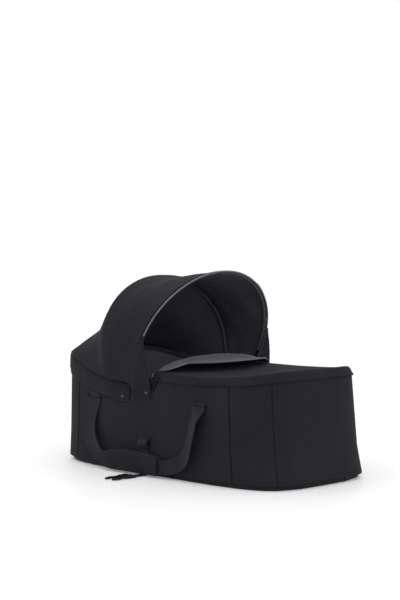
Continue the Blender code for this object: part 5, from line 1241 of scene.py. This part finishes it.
print("strap route:", len(strap_route), "stations over", round(SPAN, 3), "m")

# %% Straps and padded grips
STRAP_LEAN, STRAP_SEWN = 0.0125, (0.199, 0.172)
SLEEVE_SIDES, SLEEVE_SIZE, SLOT_SIZE = 36, (0.050, 0.021), (0.0385, 0.0050)


def on_edge(along):
    """1 on the leg that rises to the foot end, where the strap turns on edge, and 0 at its sewn end and the grip."""
    return eased(clamp((along - 0.70) / 0.12)) * eased(clamp((0.995 - along) / 0.055))


def sleeve_ring(centre, across, side, wide, deep, rise=0.0):
    """A round-cornered ring about the strap. Rise lifts its upper half."""
    points = []
    for i in range(SLEEVE_SIDES):
        angle = math.tau * i / SLEEVE_SIDES
        a = signed_power(math.cos(angle), 0.9) * wide / 2
        b = signed_power(math.sin(angle), 0.9) * deep / 2
        points.append(centre + across * (a * (1 + rise) if a < 0 else a) + Vector((0.0, side, 0.0)) * b)
    return points


for word, side in SIDES:
    outward, frames, rows = Vector((0.0, side, 0.0)), strap_frames(side), []
    for share in (-1.0, -0.94, -0.8, -0.5, -0.2, 0.0, 0.2, 0.5, 0.8, 0.94, 1.0):
        row = []
        for i, (centre, across, width, stand) in enumerate(frames):
            curl = 0.0016 * share * share * min(stand * 3, 1.0)
            lean = STRAP_LEAN * on_edge(i / (len(frames) - 1)) * (share + 0.35)
            row.append(centre + across * (width / 2 * share) + outward * (curl + lean))
        rows.append(row)
    strap = sew(f"{word}_strap_webbing", rows, 0.0024, strap_webbing, lambda centre: outward, offset=0.0)
    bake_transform(strap)
    declare(strap, None, [f"{word}_handle_strap"], "webbing")
    grip = [(centre, across) for centre, across, _, _ in frames
            if GRIP_X[0] - 0.0005 <= centre.x <= GRIP_X[1] + 0.0005 and abs(centre.z - GRIP_Z) < 0.02]
    rings = []
    for i, (centre, across) in enumerate(grip):
        along = i / (len(grip) - 1)
        full = 1 - 0.16 * math.exp(-along / 0.10) - 0.07 * math.exp(-(1 - along) / 0.03)
        fold = 0.04 * uneven(along * 9, side, 2.0)
        rings.append(sleeve_ring(centre, across, side, SLEEVE_SIZE[0] * full, SLEEVE_SIZE[1] * (full + fold),
                                 0.26 * math.sin(math.pi * along)))
    rings += [sleeve_ring(centre, across, side, *SLOT_SIZE) for centre, across in grip[::-1]]
    work = new_work()
    lay(work, rings, lambda r, c: (c * 0.0035, r * 0.0085), wrap=True, ring=True)
    bmesh.ops.recalc_face_normals(work, faces=work.faces)
    pad = made_of(work, f"{word}_grip_pad", cover_canvas)
    dress(pad, f"{word}_handle", "cover", f"{word}_grip_sleeve")
print("handles done, strap length", round(FLAT["right_strap_webbing"][0], 3))

# %% Strap anchors, chassis straps and loop tabs
ANCHOR_BELOW_BAND, FOOT_ANCHOR_HEIGHT = 0.0506, 0.008
CHASSIS_X, WEB, ON_FLOOR, BEND = -0.0185, 0.0014, 0.0011, 0.0048
BAR_Y, EYE, LOOP_LOW, LOOP_HIGH, LOOP_STANDS = 0.262, 0.0028, 0.0680, 0.0960, 0.0120


def arc(steps, count, start, turned):
    """Cosine and sine of an angle that turns in count equal steps, for the steps asked for."""
    angles = [start + turned * i / count for i in steps]
    return [(math.cos(angle), math.sin(angle)) for angle in angles]


corner_y = side_y(CHASSIS_X, HEM) + ON_FLOOR
chassis_line = [(side_y(CHASSIS_X, z) + ON_FLOOR, z) for z in (0.066, 0.055, 0.045, 0.035, 0.025, 0.012)]
chassis_line += [(corner_y + BEND * (1 - c), ON_FLOOR + BEND * (1 - s)) for c, s in arc(range(1, 9), 8, 0, math.pi / 2)]
chassis_line += [(corner_y + BEND + (BAR_Y - corner_y - BEND) * (i + 1) / 6, ON_FLOOR) for i in range(5)]
chassis_line += [(BAR_Y + EYE * c, ON_FLOOR + EYE + EYE * s)
                 for c, s in arc(range(29), 28, -math.pi / 2, math.radians(315))]
flange = (LOOP_HIGH - LOOP_LOW) / 6
half, middle_z = (LOOP_HIGH - LOOP_LOW) / 2 - flange, (LOOP_HIGH + LOOP_LOW) / 2
loop_line = [(0.0010, LOOP_LOW + flange / 2 * i) for i in range(3)]
loop_line += [(max(LOOP_STANDS * s ** 0.6, 0.0010), middle_z - half * c) for c, s in arc(range(1, 16), 16, 0, math.pi)]
loop_line += [(0.0010, LOOP_HIGH - flange / 2 * i) for i in (2, 1, 0)]

for word, side in SIDES:
    outward = Vector((0.0, side, 0.0))
    for end, (x, z, width) in (("head", HEAD_END), ("foot", FOOT_END)):
        low, rows = z + 0.0014, []
        for share in (0.0, 0.33, 0.66, 1.0):
            row = []
            for part in (-1.0, -0.6, -0.2, 0.2, 0.6, 1.0):
                px = x + part * (width / 2 - 0.0003)
                high = band_top(px) - ANCHOR_BELOW_BAND if end == "head" else low + FOOT_ANCHOR_HEIGHT
                pz = low + (high - low) * share
                row.append(Vector((px, side * (side_y(px, pz) + 0.0019 + 0.0019 * (1 - share) ** 2), pz)))
            rows.append(row)
        piece = sew(f"{word}_{end}_anchor_patch", rows, 0.0015, strap_webbing, lambda centre: outward)
        declare(piece, "shell", [f"{word}_{end}_anchor"], "webbing")
    rows = [[Vector((CHASSIS_X + share * 0.0130, side * y, z)) for share in (-1.0, -0.8, 0.0, 0.8, 1.0)]
            for y, z in chassis_line]
    piece = sew(f"{word}_chassis_webbing", rows, WEB, strap_webbing, lambda centre: outward, offset=0.0)
    declare(piece, "shell", [f"{word}_chassis_strap"], "webbing")
    rows = [[Vector((CHASSIS_X + share * 0.0170, side * (side_y(CHASSIS_X, z) + out), z))
             for share in (-1.0, -0.5, 0.0, 0.5, 1.0)] for out, z in loop_line]
    piece = sew(f"{word}_loop_webbing", rows, WEB, strap_webbing, lambda centre: outward, offset=0.0)
    declare(piece, "shell", [f"{word}_loop_tab"], "webbing")
print("anchors, chassis straps and loops done")

# %% [markdown]
# ## Mattress
# The mattress is a padded piece, so Cloth shapes it. A remeshed copy of the solid, a little smaller, is blown up by
# pressure with no gravity for some frames; how far a point may move is capped, and the result becomes the mesh.
# Sewn channels are pressed in afterwards, because the remesh would lose them.

# %% Mattress
VOXEL, PRESSURE, FRAMES, MOVE_CAP, SHRUNK = 0.006, 3.0, 16, 0.005, 0.985
CHANNEL_PITCH, CHANNEL_WIDTH, CHANNEL_DEPTH = 0.045, 0.005, 0.0030


def swollen(piece, pinned):
    """Blows a closed piece up with Cloth. Points that pinned says stay, and no point moves more than the cap."""
    remesh = piece.modifiers.new("even", "REMESH")
    remesh.mode, remesh.voxel_size = "VOXEL", VOXEL
    finished(piece)
    before = [vertex.co.copy() for vertex in piece.data.vertices]
    held = piece.vertex_groups.new(name="held")
    held.add([vertex.index for vertex in piece.data.vertices if pinned(vertex.co)], 1.0, "REPLACE")
    cloth = piece.modifiers.new("blow", "CLOTH")
    cloth.settings.use_pressure = True
    cloth.settings.uniform_pressure_force = PRESSURE
    cloth.settings.vertex_group_mass = "held"
    cloth.settings.effector_weights.gravity = 0.0
    cloth.point_cache.frame_end = FRAMES
    for step in range(1, FRAMES + 1):
        bpy.context.scene.frame_set(step)
    finished(piece)
    bpy.context.scene.frame_set(1)
    for vertex, was in zip(piece.data.vertices, before):
        move = vertex.co - was
        if move.length > MOVE_CAP:
            vertex.co = was + move * (MOVE_CAP / move.length)


work = bmesh.new()
work.from_mesh(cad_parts["mattress"].data)
bmesh.ops.remove_doubles(work, verts=work.verts, dist=0.00002)
low, high = (Vector(corner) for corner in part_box("mattress"))
centre = (low + high) / 2
for vert in work.verts:
    vert.co = centre + (vert.co - centre) * SHRUNK
mattress = made_of(work, "mattress_pad", mattress_ticking)
swollen(mattress, lambda place: place.z < low.z + 0.006)
for vertex in mattress.data.vertices:
    place = vertex.co
    if place.z > centre.z:
        channel = abs((place.x - centre.x + CHANNEL_PITCH / 2) / CHANNEL_PITCH % 1.0 - 0.5) * CHANNEL_PITCH
        vertex.co.z -= CHANNEL_DEPTH * bell(channel, CHANNEL_WIDTH)
    vertex.co = Vector(min(max(value, least), most) for value, least, most in zip(vertex.co, low, high))
layer = mattress.data.uv_layers.new(name=CUT)
for loop in mattress.data.loops:
    place = mattress.data.vertices[loop.vertex_index].co
    layer.data[loop.index].uv = (place.x, place.y + place.z)
mattress.data.shade_smooth()
dress(mattress, "shell", "lining", "mattress")
print("mattress:", len(mattress.data.polygons), "faces")

# %% [markdown]
# ## Stitches
# The tree that placed the zip's teeth also sews: a stitch is the same small bead, longer than it is wide, laid along
# a line just outside the cloth. Real stitches here are about 3 mm long, three to the centimetre.

# %% Stitch lines
BESIDE_SEAM, TURNS_EACH_WAY, STITCH_END = 0.0042, 0.02, 0.004
seam_lines = []
for left_seam, way in ((SIDE_SEAM, -1), (FOOT_SEAM, -1), (HEAD_SEAM, 1)):
    for seam, toward in ((left_seam, way), (-left_seam, -way)):
        beside = even_turns(seam - TURNS_EACH_WAY, seam + TURNS_EACH_WAY, 40)
        run = lengths_along([wall_point(turn, RIM_LOW) for turn in beside])[-1]
        turn = seam + toward * BESIDE_SEAM / (run / (2 * TURNS_EACH_WAY))
        low, top = HEM + STITCH_END, rim_above(seam) - 0.006
        seam_lines.append([wall_point(turn, low + (top - low) * i / 60, 0.0002) for i in range(61)])
hem_lines = [[wall_point(turn, HEM + 0.006, 0.0001) for turn in even_turns(-math.pi, math.pi, 400)]]
band_lines = [[wall_point(turn, band_top(x) - BAND_HALF + half * share, BAND_OUTER + 0.0010)
               for turn, x, half in columns[8:-8]] for share in (-0.84, 0.84)]
faces = 0
for name, lines in (("cover_seam", seam_lines), ("cover_hem", hem_lines), ("band", band_lines)):
    faces += repeat_along(f"{name}_stitches", lines, "cover", thread_finish,
                          Pitch=0.0033, Length=0.0026, Width=0.0007, Height=0.0005)
print("stitches:", faces, "faces")

# %% [markdown]
# ## Hard parts
# The solids that are already right keep their shape and only get their real finish.

# %% Finishes of the frame's own parts
FINISHES = {
    base_polymer: ("base_tray",), clip_polymer: ("right_clip", "left_clip"),
    board_polymer: ("base_board", "wall_board"), wadding_fibre: ("wadding",), hoop_steel: ("rim_frame",),
    black_oxide: ("front_bow", "mid_bow", "right_hood_hinge", "left_hood_hinge"),
    black_nickel: ("right_band_stud", "right_tab_stud", "left_band_stud", "left_tab_stud"),
    bright_nickel: ("right_zip_slider", "right_zip_pull", "left_zip_slider", "left_zip_pull"),
}
for finish, names in FINISHES.items():
    for name in names:
        for material_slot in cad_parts[name].material_slots:
            material_slot.material = finish
print("finishes set on", sum(map(len, FINISHES.values())), "solids")
